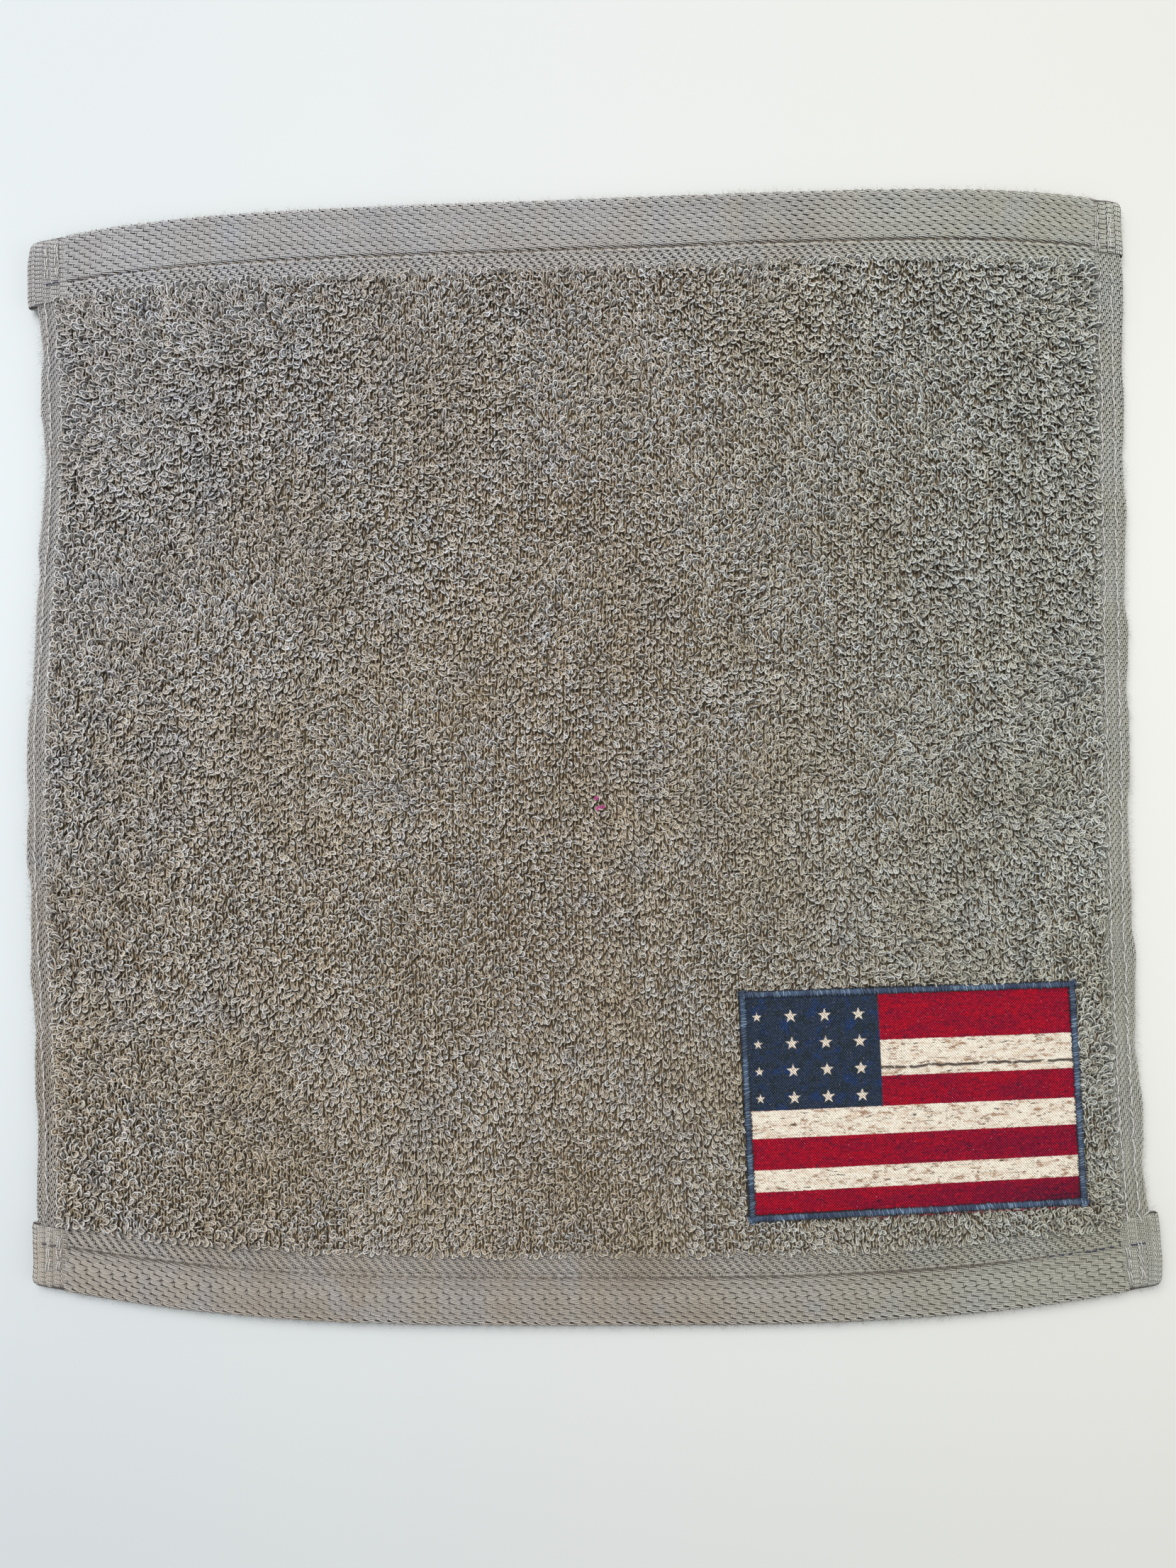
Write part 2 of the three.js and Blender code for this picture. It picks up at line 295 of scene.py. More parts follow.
    def sheet(self, top, thickness):
        """A closed thin sheet whose upper face is the grid top (n, m, 3)."""
        n, m, _ = top.shape
        low = top.copy()
        low[..., 2] -= thickness
        ids = np.arange(n * m).reshape(n, m)
        quads = join(ids[:-1, :-1], ids[:-1, 1:], ids[1:, 1:], ids[1:, :-1]).reshape(-1, 4)
        rim = np.concatenate([ids[0, :-1], ids[:-1, -1], ids[-1, :0:-1], ids[:0:-1, 0]])
        after = np.roll(rim, -1)
        size = n * m
        wall = join(rim, rim + size, after + size, after)
        gu, gv = np.meshgrid(np.linspace(0, 1, m), np.linspace(0, 1, n))
        flat = join(gu, gv).reshape(-1, 2)
        upper = flat[quads] * (0.96, 0.48) + (0.02, 0.51)
        lower = flat[quads[:, ::-1]] * (0.96, 0.46) + (0.02, 0.03)
        step = np.linspace(0.02, 0.98, len(rim) + 1)
        ends = ((step[:-1], 0.01), (step[:-1], 0.0), (step[1:], 0.0), (step[1:], 0.01))
        line = np.stack([join(*end) for end in ends], axis=1)
        self.add(
            np.concatenate([top.reshape(-1, 3), low.reshape(-1, 3)]),
            [quads, quads[:, ::-1] + size, wall],
            [upper, lower, line],
        )

    def build(self, name, material, extra_map=None):
        points = np.concatenate(self.points)
        points = (points + (SHIFT[0], SHIFT[1], 0.0)) * MM
        mesh = bpy.data.meshes.new(name)
        mesh.vertices.add(len(points))
        mesh.vertices.foreach_set("co", points.astype(np.float32).ravel())
        sizes = np.concatenate([np.full(len(block), block.shape[1]) for block in self.faces])
        loops = np.concatenate([block.ravel() for block in self.faces]).astype(np.int32)
        starts = np.concatenate([[0], np.cumsum(sizes)[:-1]]).astype(np.int32)
        mesh.loops.add(len(loops))
        mesh.loops.foreach_set("vertex_index", loops)
        mesh.polygons.add(len(sizes))
        mesh.polygons.foreach_set("loop_start", starts)
        mesh.polygons.foreach_set("use_smooth", np.ones(len(sizes), bool))
        mesh.update(calc_edges=True)
        layer = mesh.uv_layers.new(name="OFBake")
        layer.data.foreach_set("uv", self.packed_map().astype(np.float32).ravel())
        if extra_map:
            values = extra_map[1](np.concatenate(self.points))[loops]
            other = mesh.uv_layers.new(name=extra_map[0])
            other.data.foreach_set("uv", values.astype(np.float32).ravel())
        mesh.materials.append(material)
        piece = bpy.data.objects.new(name, mesh)
        bpy.context.scene.collection.objects.link(piece)
        return piece

    def packed_map(self):
        """Each group's private square becomes a band of the map, as high as its share of the faces."""
        total = sum(len(corner) for group in self.groups for corner in group)
        packed, low = [], 0.0
        for group in self.groups:
            share = sum(len(corner) for corner in group) / total
            packed.extend(corner * (1.0, share) + (0.0, low) for corner in group)
            low += share
        return np.concatenate(packed)


# --- Shader expressions ------------------------------------------------------------

def math_node(operation, swapped=False):
    """A method that adds one Math node; swapped puts the other value first."""
    def method(self, *others):
        values = (*others, self) if swapped else (self, *others)
        return self.nodes.add("ShaderNodeMath", {"operation": operation}, dict(enumerate(values)))

    return method


class Value:
    """A number that varies over a surface. Arithmetic on it adds Math nodes."""

    def __init__(self, nodes, socket):
        self.nodes = nodes
        self.socket = socket

    __add__ = __radd__ = math_node("ADD")
    __sub__ = math_node("SUBTRACT")
    __rsub__ = math_node("SUBTRACT", swapped=True)
    __mul__ = __rmul__ = math_node("MULTIPLY")
    __truediv__ = math_node("DIVIDE")
    __rtruediv__ = math_node("DIVIDE", swapped=True)
    __pow__ = math_node("POWER")
    __mod__ = math_node("FLOORED_MODULO")
    floor = math_node("FLOOR")
    sin = math_node("SINE")
    cos = math_node("COSINE")
    abs = math_node("ABSOLUTE")
    max = math_node("MAXIMUM")
    min = math_node("MINIMUM")
    angle = math_node("ARCTAN2")

    def clamped(self):
        settings = {"operation": "ADD", "use_clamp": True}
        return self.nodes.add("ShaderNodeMath", settings, {0: self, 1: 0.0})

    def ramp(self, start, end):
        """0 at start and 1 at end, smooth between them."""
        settings = {"interpolation_type": "SMOOTHSTEP"}
        values = {"Value": self, "From Min": start, "From Max": end}
        return self.nodes.add("ShaderNodeMapRange", settings, values)


class Nodes:
    """The node tree of one material."""

    def __init__(self, name, viewport):
        self.material = bpy.data.materials.new(name)
        self.material.use_nodes = True
        self.material.diffuse_color = (*viewport, 1.0)
        self.tree = self.material.node_tree
        self.tree.nodes.clear()

    def feed(self, socket, value):
        if isinstance(value, Value):
            self.tree.links.new(value.socket, socket)
        elif socket.type == "RGBA":
            socket.default_value = (*value, 1.0)
        else:
            socket.default_value = value

    def add(self, kind, settings=None, values=None, output=0):
        node = self.tree.nodes.new(kind)
        for key, setting in (settings or {}).items():
            setattr(node, key, setting)
        for key, value in (values or {}).items():
            self.feed(node.inputs[key], value)
        return Value(self, node.outputs[output])

    def place(self, scale=(1.0, 1.0, 1.0)):
        """Object coordinates in metres, stretched by scale."""
        place = self.add("ShaderNodeTexCoord", output=3)
        return self.add("ShaderNodeVectorMath", {"operation": "MULTIPLY"}, {0: place, 1: scale})

    def facing_up(self):
        """1 where the surface faces straight up, 0 where it is upright or turned away."""
        normal = self.add("ShaderNodeNewGeometry", output=1)
        return self.axes(normal)[2].clamped()

    def each_yarn(self):
        """A different number for every separate yarn of a piece."""
        return self.add("ShaderNodeNewGeometry", output=8)

    def axes(self, vector):
        return [self.add("ShaderNodeSeparateXYZ", None, {0: vector}, axis) for axis in range(3)]

    def noise(self, vector, scale, detail=2.0, roughness=0.5):
        values = {"Vector": vector, "Scale": scale, "Detail": detail, "Roughness": roughness}
        return self.add("ShaderNodeTexNoise", None, values)

    def mix(self, first, second, share):
        settings = {"data_type": "RGBA"}
        return self.add("ShaderNodeMix", settings, {0: share, 6: first, 7: second}, 2)

    def shade(self, colour, value):
        """colour made darker or lighter by value."""
        settings = {"data_type": "RGBA", "blend_type": "MULTIPLY"}
        grey = self.add("ShaderNodeCombineColor", None, {0: value, 1: value, 2: value})
        return self.add("ShaderNodeMix", settings, {0: 1.0, 6: colour, 7: grey}, 2)

    def bump(self, height, strength, distance):
        return self.add(
            "ShaderNodeBump", None, {"Strength": strength, "Distance": distance, "Height": height}
        )

    def cloth(self, colour, normal=None, roughness=0.92, sheen=0.15, specular=0.25):
        values = {
            "Base Color": colour,
            "Roughness": roughness,
            "Specular IOR Level": specular,
            "Sheen Weight": sheen,
            "Sheen Roughness": 0.5,
        }
        if normal is not None:
            values["Normal"] = normal
        surface = self.add("ShaderNodeBsdfPrincipled", None, values)
        output = self.tree.nodes.new("ShaderNodeOutputMaterial")
        self.tree.links.new(surface.socket, output.inputs["Surface"])
        return self.material


def rgb(red, green, blue):
    """Linear colour from a 0 to 255 display colour."""
    return tuple(
        c / 12.92 if c <= 0.04045 else ((c + 0.055) / 1.055) ** 2.4
        for c in (red / 255, green / 255, blue / 255)
    )


# --- Materials ---------------------------------------------------------------------

def height_above(nodes, low, high):
    """0 at low and 1 at high, both in millimetres above the table."""
    height = nodes.axes(nodes.place())[2]
    return height.ramp(low * MM, high * MM)


def drifting_tint(nodes, colour, warm, cool):
    """colour drifting in broad, soft patches: warmer towards the bottom, cooler towards the upper left."""
    place = nodes.place()
    east, north, _ = nodes.axes(place)
    broad = nodes.noise(place, 26.0, 2.0)
    fine = nodes.noise(place, 75.0, 1.0)
    warmth = broad.ramp(0.42, 0.7) * 0.35 + (0.2 - north * 1.6) * 0.55
    chill = fine.ramp(0.54, 0.74) * 0.25 + (north - east - 0.02).ramp(0.0, 0.3) * 0.45
    return nodes.mix(nodes.mix(colour, warm, warmth.clamped()), cool, chill.clamped())


def pile_material(colours, name, low, high, tip, other_tip, flank_shade=0.24):
    """Loops: pale on top, with painted shade that turns them brown towards the roots and dark along their
    sides, each a little different.
    """
    nodes = Nodes(name, tip)
    place = nodes.place()
    depth = height_above(nodes, low, high)
    own = nodes.each_yarn()
    patch = nodes.noise(place, 300.0, 1.0)
    colour = nodes.mix(tip, other_tip, (own * 0.7 + patch * 0.6 - 0.15).clamped())
    colour = drifting_tint(nodes, colour, rgb(196, 176, 142), rgb(186, 190, 200))
    east = nodes.axes(place)[0].ramp(-0.02, 0.15)
    colour = nodes.mix(colour, rgb(190, 202, 192), east * 0.42)
    # Painted shade: low down between the loops the colour turns to the dark brown root shade, greyer towards
    # the right.
    root = nodes.mix(colours.pile_root_shade, rgb(120, 120, 110), east * 0.85)
    colour = nodes.mix(root, colour, depth)
    fibre = nodes.noise(place, 5200.0, 2.0)
    rib = nodes.noise(nodes.place((150.0, 10.0, 1.0)), 1.0, 2.0)
    # Painted shade on the sides of the yarn: where it does not face up it is darkened, down to the flank
    # share.
    crown = flank_shade + nodes.facing_up().ramp(0.2, 1.0) * (1.04 - flank_shade)
    colour = nodes.shade(colour, crown * (0.8 + own * 0.3) * (0.72 + fibre * 0.54) * (0.78 + rib * 0.44))
    return nodes.cloth(colour, nodes.bump(fibre, 0.6, 0.00008))


def woven_material(name, base, gap, low, high, along="x"):
    """Smooth yarns: painted light on top and painted shade between them and on their sides, with warm and
    cool stretches.
    """
    nodes = Nodes(name, base)
    place = nodes.place()
    # Painted shade by height: low yarn takes the gap shade colour, but the turned-under rims keep their own
    # colour.
    turned_under = height_above(nodes, low - 0.6, low - 1.2)
    depth = height_above(nodes, low, high).max(turned_under)
    stretch = (110.0, 22.0, 60.0) if along == "x" else (22.0, 110.0, 60.0)
    bars = nodes.noise(nodes.place(stretch), 1.0, 3.0)
    colour = nodes.mix(base, rgb(184, 168, 148), bars.ramp(0.5, 0.66) * 0.22)
    colour = nodes.mix(colour, rgb(170, 174, 188), bars.ramp(0.46, 0.3) * 0.25)
    colour = drifting_tint(nodes, colour, rgb(162, 144, 120), rgb(184, 188, 198))
    east = nodes.axes(place)[0].ramp(0.0, 0.16)
    colour = nodes.mix(colour, rgb(182, 192, 176), east * 0.4)
    colour = nodes.mix(gap, colour, depth)
    fibre = nodes.noise(place, 4600.0, 2.0)
    # Painted shade on the sides of the yarns, lifted on the turned-under rims.
    crown = (0.26 + nodes.facing_up().ramp(0.3, 1.0) * 0.8).max(turned_under * 0.8)
    own = 0.8 + nodes.each_yarn() * 0.3
    colour = nodes.shade(colour, crown * own * (0.76 + fibre * 0.46))
    return nodes.cloth(colour, nodes.bump(fibre, 0.5, 0.00006), sheen=0.12)


# Distance between the ground cloth's upright threads, and between its cross threads.
GROUND_PITCH = (1.04, 1.6)


def ground_material(colours):
    """Plain ground cloth: fine upright threads, seen in the gaps between loops."""
    nodes = Nodes("ground cloth weave", colours.ground)
    place = nodes.place()
    x, y, _ = nodes.axes(place)
    sway = (nodes.noise(nodes.place((700.0, 240.0, 1.0)), 1.0, 2.0) - 0.5) * 5.0
    upright = ((x * (2 * math.pi / (GROUND_PITCH[0] * MM)) + sway).sin() * 0.5 + 0.5) ** 1.5
    cross = (y * (2 * math.pi / (GROUND_PITCH[1] * MM))).sin() * 0.5 + 0.5
    weave = upright * 0.8 + cross * 0.2
    mottle = nodes.noise(place, 300.0, 2.0)
    colour = nodes.mix(rgb(54, 44, 32), colours.ground, (weave * 0.8 + mottle * 0.3).clamped())
    return nodes.cloth(colour, nodes.bump(weave, 0.8, 0.0004))


def thread_material(name, colour, dark, roughness=0.6):
    nodes = Nodes(name, colour)
    place = nodes.place()
    ply = nodes.noise(place, 3800.0, 1.0)
    shade = nodes.mix(dark, colour, ply.ramp(0.3, 0.62))
    return nodes.cloth(shade, nodes.bump(ply, 0.6, 0.00006), roughness=roughness, sheen=0.1)


def seam_material(colours):
    """Dark blue thread towards the corners; over the middle, thread darkened with painted shade of the
    seam's groove.
    """
    nodes = Nodes("hem seam thread", colours.seam)
    place = nodes.place()
    x = nodes.axes(place)[0]
    broken = nodes.noise(place, 60.0, 1.0)
    corner = (x.abs() + (broken - 0.5) * 0.2).ramp(0.13, 0.16)
    # Painted shade: over the middle the thread takes a dark brown, the shadow in the seam's groove.
    colour = nodes.mix(rgb(104, 94, 84), colours.seam, corner)
    return nodes.cloth(colour, roughness=0.7)


def border_material(colours):
    """Satin thread: slate blue on the crown, with painted shade in dark navy at the edges and between the
    threads.
    """
    nodes = Nodes("patch border satin", colours.border)
    place = nodes.place()
    # Painted shade: the lower parts of each thread take the shaded edge colour.
    crown = height_above(nodes, 4.5, 5.1)
    own = nodes.each_yarn()
    lit = nodes.mix(colours.border, rgb(140, 164, 186), own.ramp(0.35, 1.0) * 0.85)
    colour = nodes.mix(colours.border_edge, lit, crown)
    patchy = nodes.noise(place, 120.0, 1.0)
    colour = nodes.mix(colour, rgb(24, 34, 62), patchy.ramp(0.42, 0.6) * 0.65)
    # Painted shade on the sides of the threads that do not face up.
    colour = nodes.shade(colour, 0.1 + nodes.facing_up().ramp(0.45, 1.0) * 1.05)
    return nodes.cloth(colour, roughness=0.5, sheen=0.1, specular=0.35)


# The printed pattern, in millimetres from the top left corner of the print.
STRIPE_HEIGHTS = (13.1, 10.4, 8.7, 7.9, 9.0, 6.2, 6.3)
CANTON_WIDTH = 38.4
CANTON_STRIPES = 3
STAR_ROWS = 4
STAR_COLUMNS = 4
STAR_FIRST = (2.8, 5.4)
STAR_PITCH = (9.9, 7.8)
STAR_RADIUS = 2.0
STAR_INNER = 0.42
TWILL_PITCH = (0.71, 0.84)


def star_mask(nodes, across, down):
    """1 inside a grid of five-pointed stars; the first column's are smaller."""
    column = ((across - STAR_FIRST[0]) / STAR_PITCH[0] + 0.5).floor().max(0.0).min(STAR_COLUMNS - 1.0)
    row = ((down - STAR_FIRST[1]) / STAR_PITCH[1] + 0.5).floor().max(0.0).min(STAR_ROWS - 1.0)
    dx = across - (column * STAR_PITCH[0] + STAR_FIRST[0])
    dy = (row * STAR_PITCH[1] + STAR_FIRST[1]) - down
    radius = (dx * dx + dy * dy) ** 0.5
    angle = dx.angle(dy)
    wedge = 2 * math.pi / 5
    folded = ((angle + wedge / 2) % wedge - wedge / 2).abs()
    px, py = radius * folded.cos(), radius * folded.sin()
    tip = ((column - 0.5).ramp(-0.5, 0.5) * 0.28 + 0.72) * STAR_RADIUS
    inner_x = tip * (STAR_INNER * math.cos(math.pi / 5))
    inner_y = tip * (STAR_INNER * math.sin(math.pi / 5))
    side = (tip - px) * inner_y - py * (tip - inner_x)
    return (side / tip).ramp(-0.06, 0.08)


def print_material(colours):
    """Worn stars and stripes printed on twill, with the grain of old boards."""
    nodes = Nodes("patch printed twill", colours.red)
    across_share, down_share, _ = nodes.axes(
        nodes.add("ShaderNodeUVMap", {"uv_map": "PrintMap"})
    )
    wide = PATCH_WIDTH - 2 * BORDER_WIDTH
    tall = PATCH_HEIGHT - 2 * BORDER_WIDTH
    across, down = across_share * wide, (1.0 - down_share) * tall
    plane = nodes.add("ShaderNodeCombineXYZ", None, {0: across, 1: down, 2: 0.0})

    def grain(scale_x, scale_y, detail=3.0, shift=0.0):
        moved = nodes.add("ShaderNodeVectorMath", {"operation": "ADD"}, {0: plane, 1: (shift, shift, 0.0)})
        stretched = nodes.add(
            "ShaderNodeVectorMath", {"operation": "MULTIPLY"}, {0: moved, 1: (scale_x, scale_y, 1.0)}
        )
        return nodes.noise(stretched, 1.0, detail, 0.6)

    wobble = (grain(1.2, 1.2, 2.0) - 0.5) * 0.45
    red_here, edge = 1.0, 0.0
    for index, height in enumerate(STRIPE_HEIGHTS[:-1]):
        edge += height
        step = (down + wobble).ramp(edge - 0.12, edge + 0.12)
        if index % 2:
            red_here = red_here + step
        else:
            red_here = red_here - step
    canton_bottom = sum(STRIPE_HEIGHTS[:CANTON_STRIPES])
    in_canton = (across + wobble).ramp(CANTON_WIDTH + 0.15, CANTON_WIDTH - 0.15) * (down + wobble).ramp(
        canton_bottom + 0.15, canton_bottom - 0.15
    )

    east, low = across / wide, down / tall
    aged = grain(0.09, 0.2, 3.0, 3.0).ramp(0.36, 0.64) * 0.7 + (east * low).ramp(0.1, 0.75) * 0.6 - 0.1
    red = nodes.mix(colours.red, colours.wine, aged.clamped())
    red = nodes.mix(red, rgb(96, 6, 40), grain(0.5, 1.0, 4.0, 9.0).ramp(0.46, 0.66) * 0.6)
    red = nodes.mix(red, rgb(214, 10, 40), grain(0.8, 1.2, 4.0, 81.0).ramp(0.52, 0.68) * 0.5)
    marks = grain(0.45, 1.0, 3.0, 5.0).ramp(0.57, 0.66) * grain(0.1, 0.2, 2.0, 11.0).ramp(0.42, 0.56)
    red = nodes.mix(red, rgb(38, 16, 40), marks * 0.7)
    corner = across.ramp(wide * 0.62, wide) * down.ramp(tall * 0.86, tall)
    red = nodes.mix(red, rgb(34, 22, 44), corner * grain(0.5, 1.0, 3.0, 21.0).ramp(0.35, 0.6) * 0.8)

    cream = nodes.mix(colours.cream, rgb(214, 182, 150), grain(0.2, 0.7, 4.0, 13.0).ramp(0.46, 0.7) * 0.6)
    worn = grain(0.16, 0.3, 2.0, 31.0).ramp(0.42, 0.58)
    speckle = grain(1.2, 2.2, 3.0, 2.0).ramp(0.56, 0.64) * worn
    cream = nodes.mix(cream, rgb(138, 92, 62), speckle * 0.8)
    blotch = grain(0.4, 0.9, 4.0, 71.0).ramp(0.5, 0.62) * worn
    cream = nodes.mix(cream, rgb(158, 110, 76), blotch * 0.8)
    dashes = grain(0.3, 1.6, 4.0, 17.0).ramp(0.6, 0.64) * grain(0.12, 0.3, 2.0, 7.0).ramp(0.36, 0.48)
    cream = nodes.mix(cream, rgb(58, 42, 32), dashes * 0.9)
    knots = grain(1.1, 1.5, 2.0, 61.0).ramp(0.66, 0.72) * worn
    cream = nodes.mix(cream, rgb(84, 54, 42), knots * 0.8)
    crack_place = STRIPE_HEIGHTS[0] + STRIPE_HEIGHTS[1] * 0.76
    crack_wave = (grain(0.12, 0.0, 2.0, 41.0) - 0.5) * 2.4
    crack = 1.0 - (down - crack_place + crack_wave).abs().ramp(0.2, 0.6)
    cream = nodes.mix(cream, rgb(52, 40, 36), crack * grain(0.4, 0.4, 2.0, 23.0).ramp(0.32, 0.44) * 0.9)

    canton = nodes.mix(colours.navy, rgb(20, 54, 108), grain(0.24, 0.24, 4.0, 19.0).ramp(0.5, 0.66) * 0.7)
    canton = nodes.mix(canton, rgb(30, 42, 46), grain(0.35, 0.4, 3.0, 37.0).ramp(0.46, 0.62) * 0.7)
    canton = nodes.mix(canton, rgb(128, 134, 142), grain(3.0, 3.0, 2.0, 91.0).ramp(0.56, 0.7) * 0.4)
    stars = star_mask(nodes, across + wobble, down + wobble)
    stars = stars * grain(2.6, 2.6, 2.0, 29.0).ramp(0.2, 0.42)
    canton = nodes.mix(canton, rgb(232, 218, 200), stars)

    colour = nodes.mix(nodes.mix(cream, red, red_here), canton, in_canton)
    lint = grain(1.9, 1.9, 2.0, 51.0).ramp(0.7, 0.73)
    colour = nodes.mix(colour, rgb(214, 170, 186), lint * 0.75)
    warp, weft = across * (2 * math.pi / TWILL_PITCH[0]), down * (2 * math.pi / TWILL_PITCH[1])
    twill = (warp - weft).sin() * 0.5 + 0.5
    cross = (warp + weft).sin() * 0.5 + 0.5
    threads = grain(4.5, 4.5, 2.0, 3.0)
    dots = twill * 0.75 + cross * 0.25
    colour = nodes.mix(colour, rgb(214, 200, 204), (dots.ramp(0.72, 1.0) * threads.ramp(0.44, 0.6)) * 0.08)
    uneven = grain(1.5, 1.5, 4.0, 33.0)
    relief = 0.62 + red_here.max(in_canton) * 0.5
    light = (dots - 0.5 + (threads - 0.5) * 1.3 + (uneven - 0.5) * 1.2) * relief
    colour = nodes.shade(colour, light + 0.78)
    normal = nodes.bump(dots, 0.6, 0.00015)
    return nodes.cloth(colour, normal, roughness=0.82, sheen=0.04, specular=0.12)


def lint_material(colours):
    nodes = Nodes("pink lint", colours.lint)
    tuft = nodes.noise(nodes.place(), 1500.0, 1.0)
    colour = nodes.mix(rgb(196, 92, 160), colours.lint, tuft.ramp(0.35, 0.6))
    return nodes.cloth(colour, roughness=0.9)


def floor_material():
    nodes = Nodes("pale floor", (0.85, 0.86, 0.87))
    east, north, _ = nodes.axes(nodes.place())
    # Painted light: the floor is darker and cooler on the left, and darker towards its top and bottom, where
    # the light falls off.
    colour = nodes.mix(rgb(210, 216, 219), rgb(222, 222, 217), east.ramp(-0.22, 0.22))
    painted_falloff = 1.03 - (north + 0.01).abs().ramp(0.05, 0.25) * 0.11
    return nodes.cloth(nodes.shade(colour, painted_falloff), roughness=0.75, sheen=0.0, specular=0.2)


# --- Ways of laying yarn -----------------------------------------------------------

YARN_FLOOR = 0.4
CORNER_ROUND = 3.0
# For a run that is used only for its place, and has no inner edge of its own.
OPEN_WIDTH = 30.0


def fold_surface(arc, start, top):
    """Inset, height and outward direction on a fold; arc runs inwards from the fold's upper side."""
    radius = (top - YARN_FLOOR) / 2
    turn = np.clip(-arc / radius, 0, math.pi)
    inset = start + radius * (1 - np.sin(turn))
    inset = inset + np.maximum(arc, 0) + np.maximum(-arc - math.pi * radius, 0)
    height = YARN_FLOOR + radius * (1 + np.cos(turn))
    return inset, height, -np.sin(turn), np.cos(turn)


class Run:
    """A stretch of folded cloth along one edge, from share s0 to s1 of the edge.

    It starts start millimetres in from the edge, is width wide, and its upper side lies at top. A seam
    presses a valley that far in; tip rounds off the end 0 or 1; wavy is how far its fold wanders; thin
    is how much lower its inner edge lies.
    """

    def __init__(self, edge, s0, s1, start, top, width, seam=None, tip=None, wavy=0.0, thin=0.0):
        self.edge, self.s0, self.s1 = edge, s0, s1
        self.start, self.top, self.width = start, top, width
        self.seam, self.tip, self.wavy, self.thin = seam, tip, wavy, thin
        self.length = abs(s1 - s0) * CLOTH_WIDTH
        radius = (top - YARN_FLOOR) / 2
        self.inner = start + width - radius
        self.fold = math.pi * radius

    def place(self, along, arc, out):
        """Points at along and arc, both in millimetres, standing out from the cloth by out."""
        inset, height, side, up = fold_surface(arc, self.start, self.top)
        if self.seam is not None:
            valley = np.exp(-(((inset - self.seam) / 0.65) ** 2))
            height = height - 0.75 * valley * (arc > 0)
        inset = inset + side * out
        height = height + up * out
        if self.thin:
            inwards = np.clip((inset - self.start) / self.width, 0, 1)
            height = height - self.thin * inwards**2 * (arc > 0)
        if self.wavy:
            share = lerp(self.s0, self.s1, along / self.length)
            waves = smooth_noise(share * CLOTH_WIDTH, 0 * along, 9.0, 19) - 0.5
            inset = inset + 2 * self.wavy * waves * np.clip(1 - inset / 7, 0, 1)
        if self.tip is not None:
            from_tip = along if self.tip == 0 else self.length - along
            bend = np.clip(1 - from_tip / CORNER_ROUND, 0, 1)
            ease = 1 - np.sqrt(1 - bend**2)
            inset = inset + ease * np.clip(1.6 - (inset - self.start) * 0.25, 0, 1.6)
            height = lerp(height, YARN_FLOOR + 0.4, ease * 0.85)
        s = lerp(self.s0, self.s1, along / self.length)
        x, y = EDGES[self.edge](s, inset)
        return join(x, y, height + cloth_lift(x, y))




# A woven face: rows of floats, each of a few fine yarns pinched by a tie. Lengths are in millimetres.
Weave = collections.namedtuple(
    "Weave", "row float_length yarns radius swell steps slant shift sway", defaults=(0.5, 0.8)
)
HEM_WEAVE = Weave(1.26, 3.55, yarns=3, radius=0.25, swell=0.5, steps=8, slant=0.22)
SIDE_WEAVE = Weave(0.76, 2.2, yarns=2, radius=0.21, swell=0.4, steps=6, slant=0.16, sway=1.4)
CORNER_WEAVE = Weave(2.2, 1.5, yarns=5, radius=0.26, swell=0.38, steps=6, slant=0.0, sway=0.5)
STRIP_WEAVE = Weave(0.9, 2.7, yarns=2, radius=0.27, swell=0.34, steps=7, slant=0.3, shift=0.34)


def row_places(weave, first, last):
    count = max(1, int((last - first) / weave.row))
    return count, first + (np.arange(count) + 0.5) * (last - first) / count


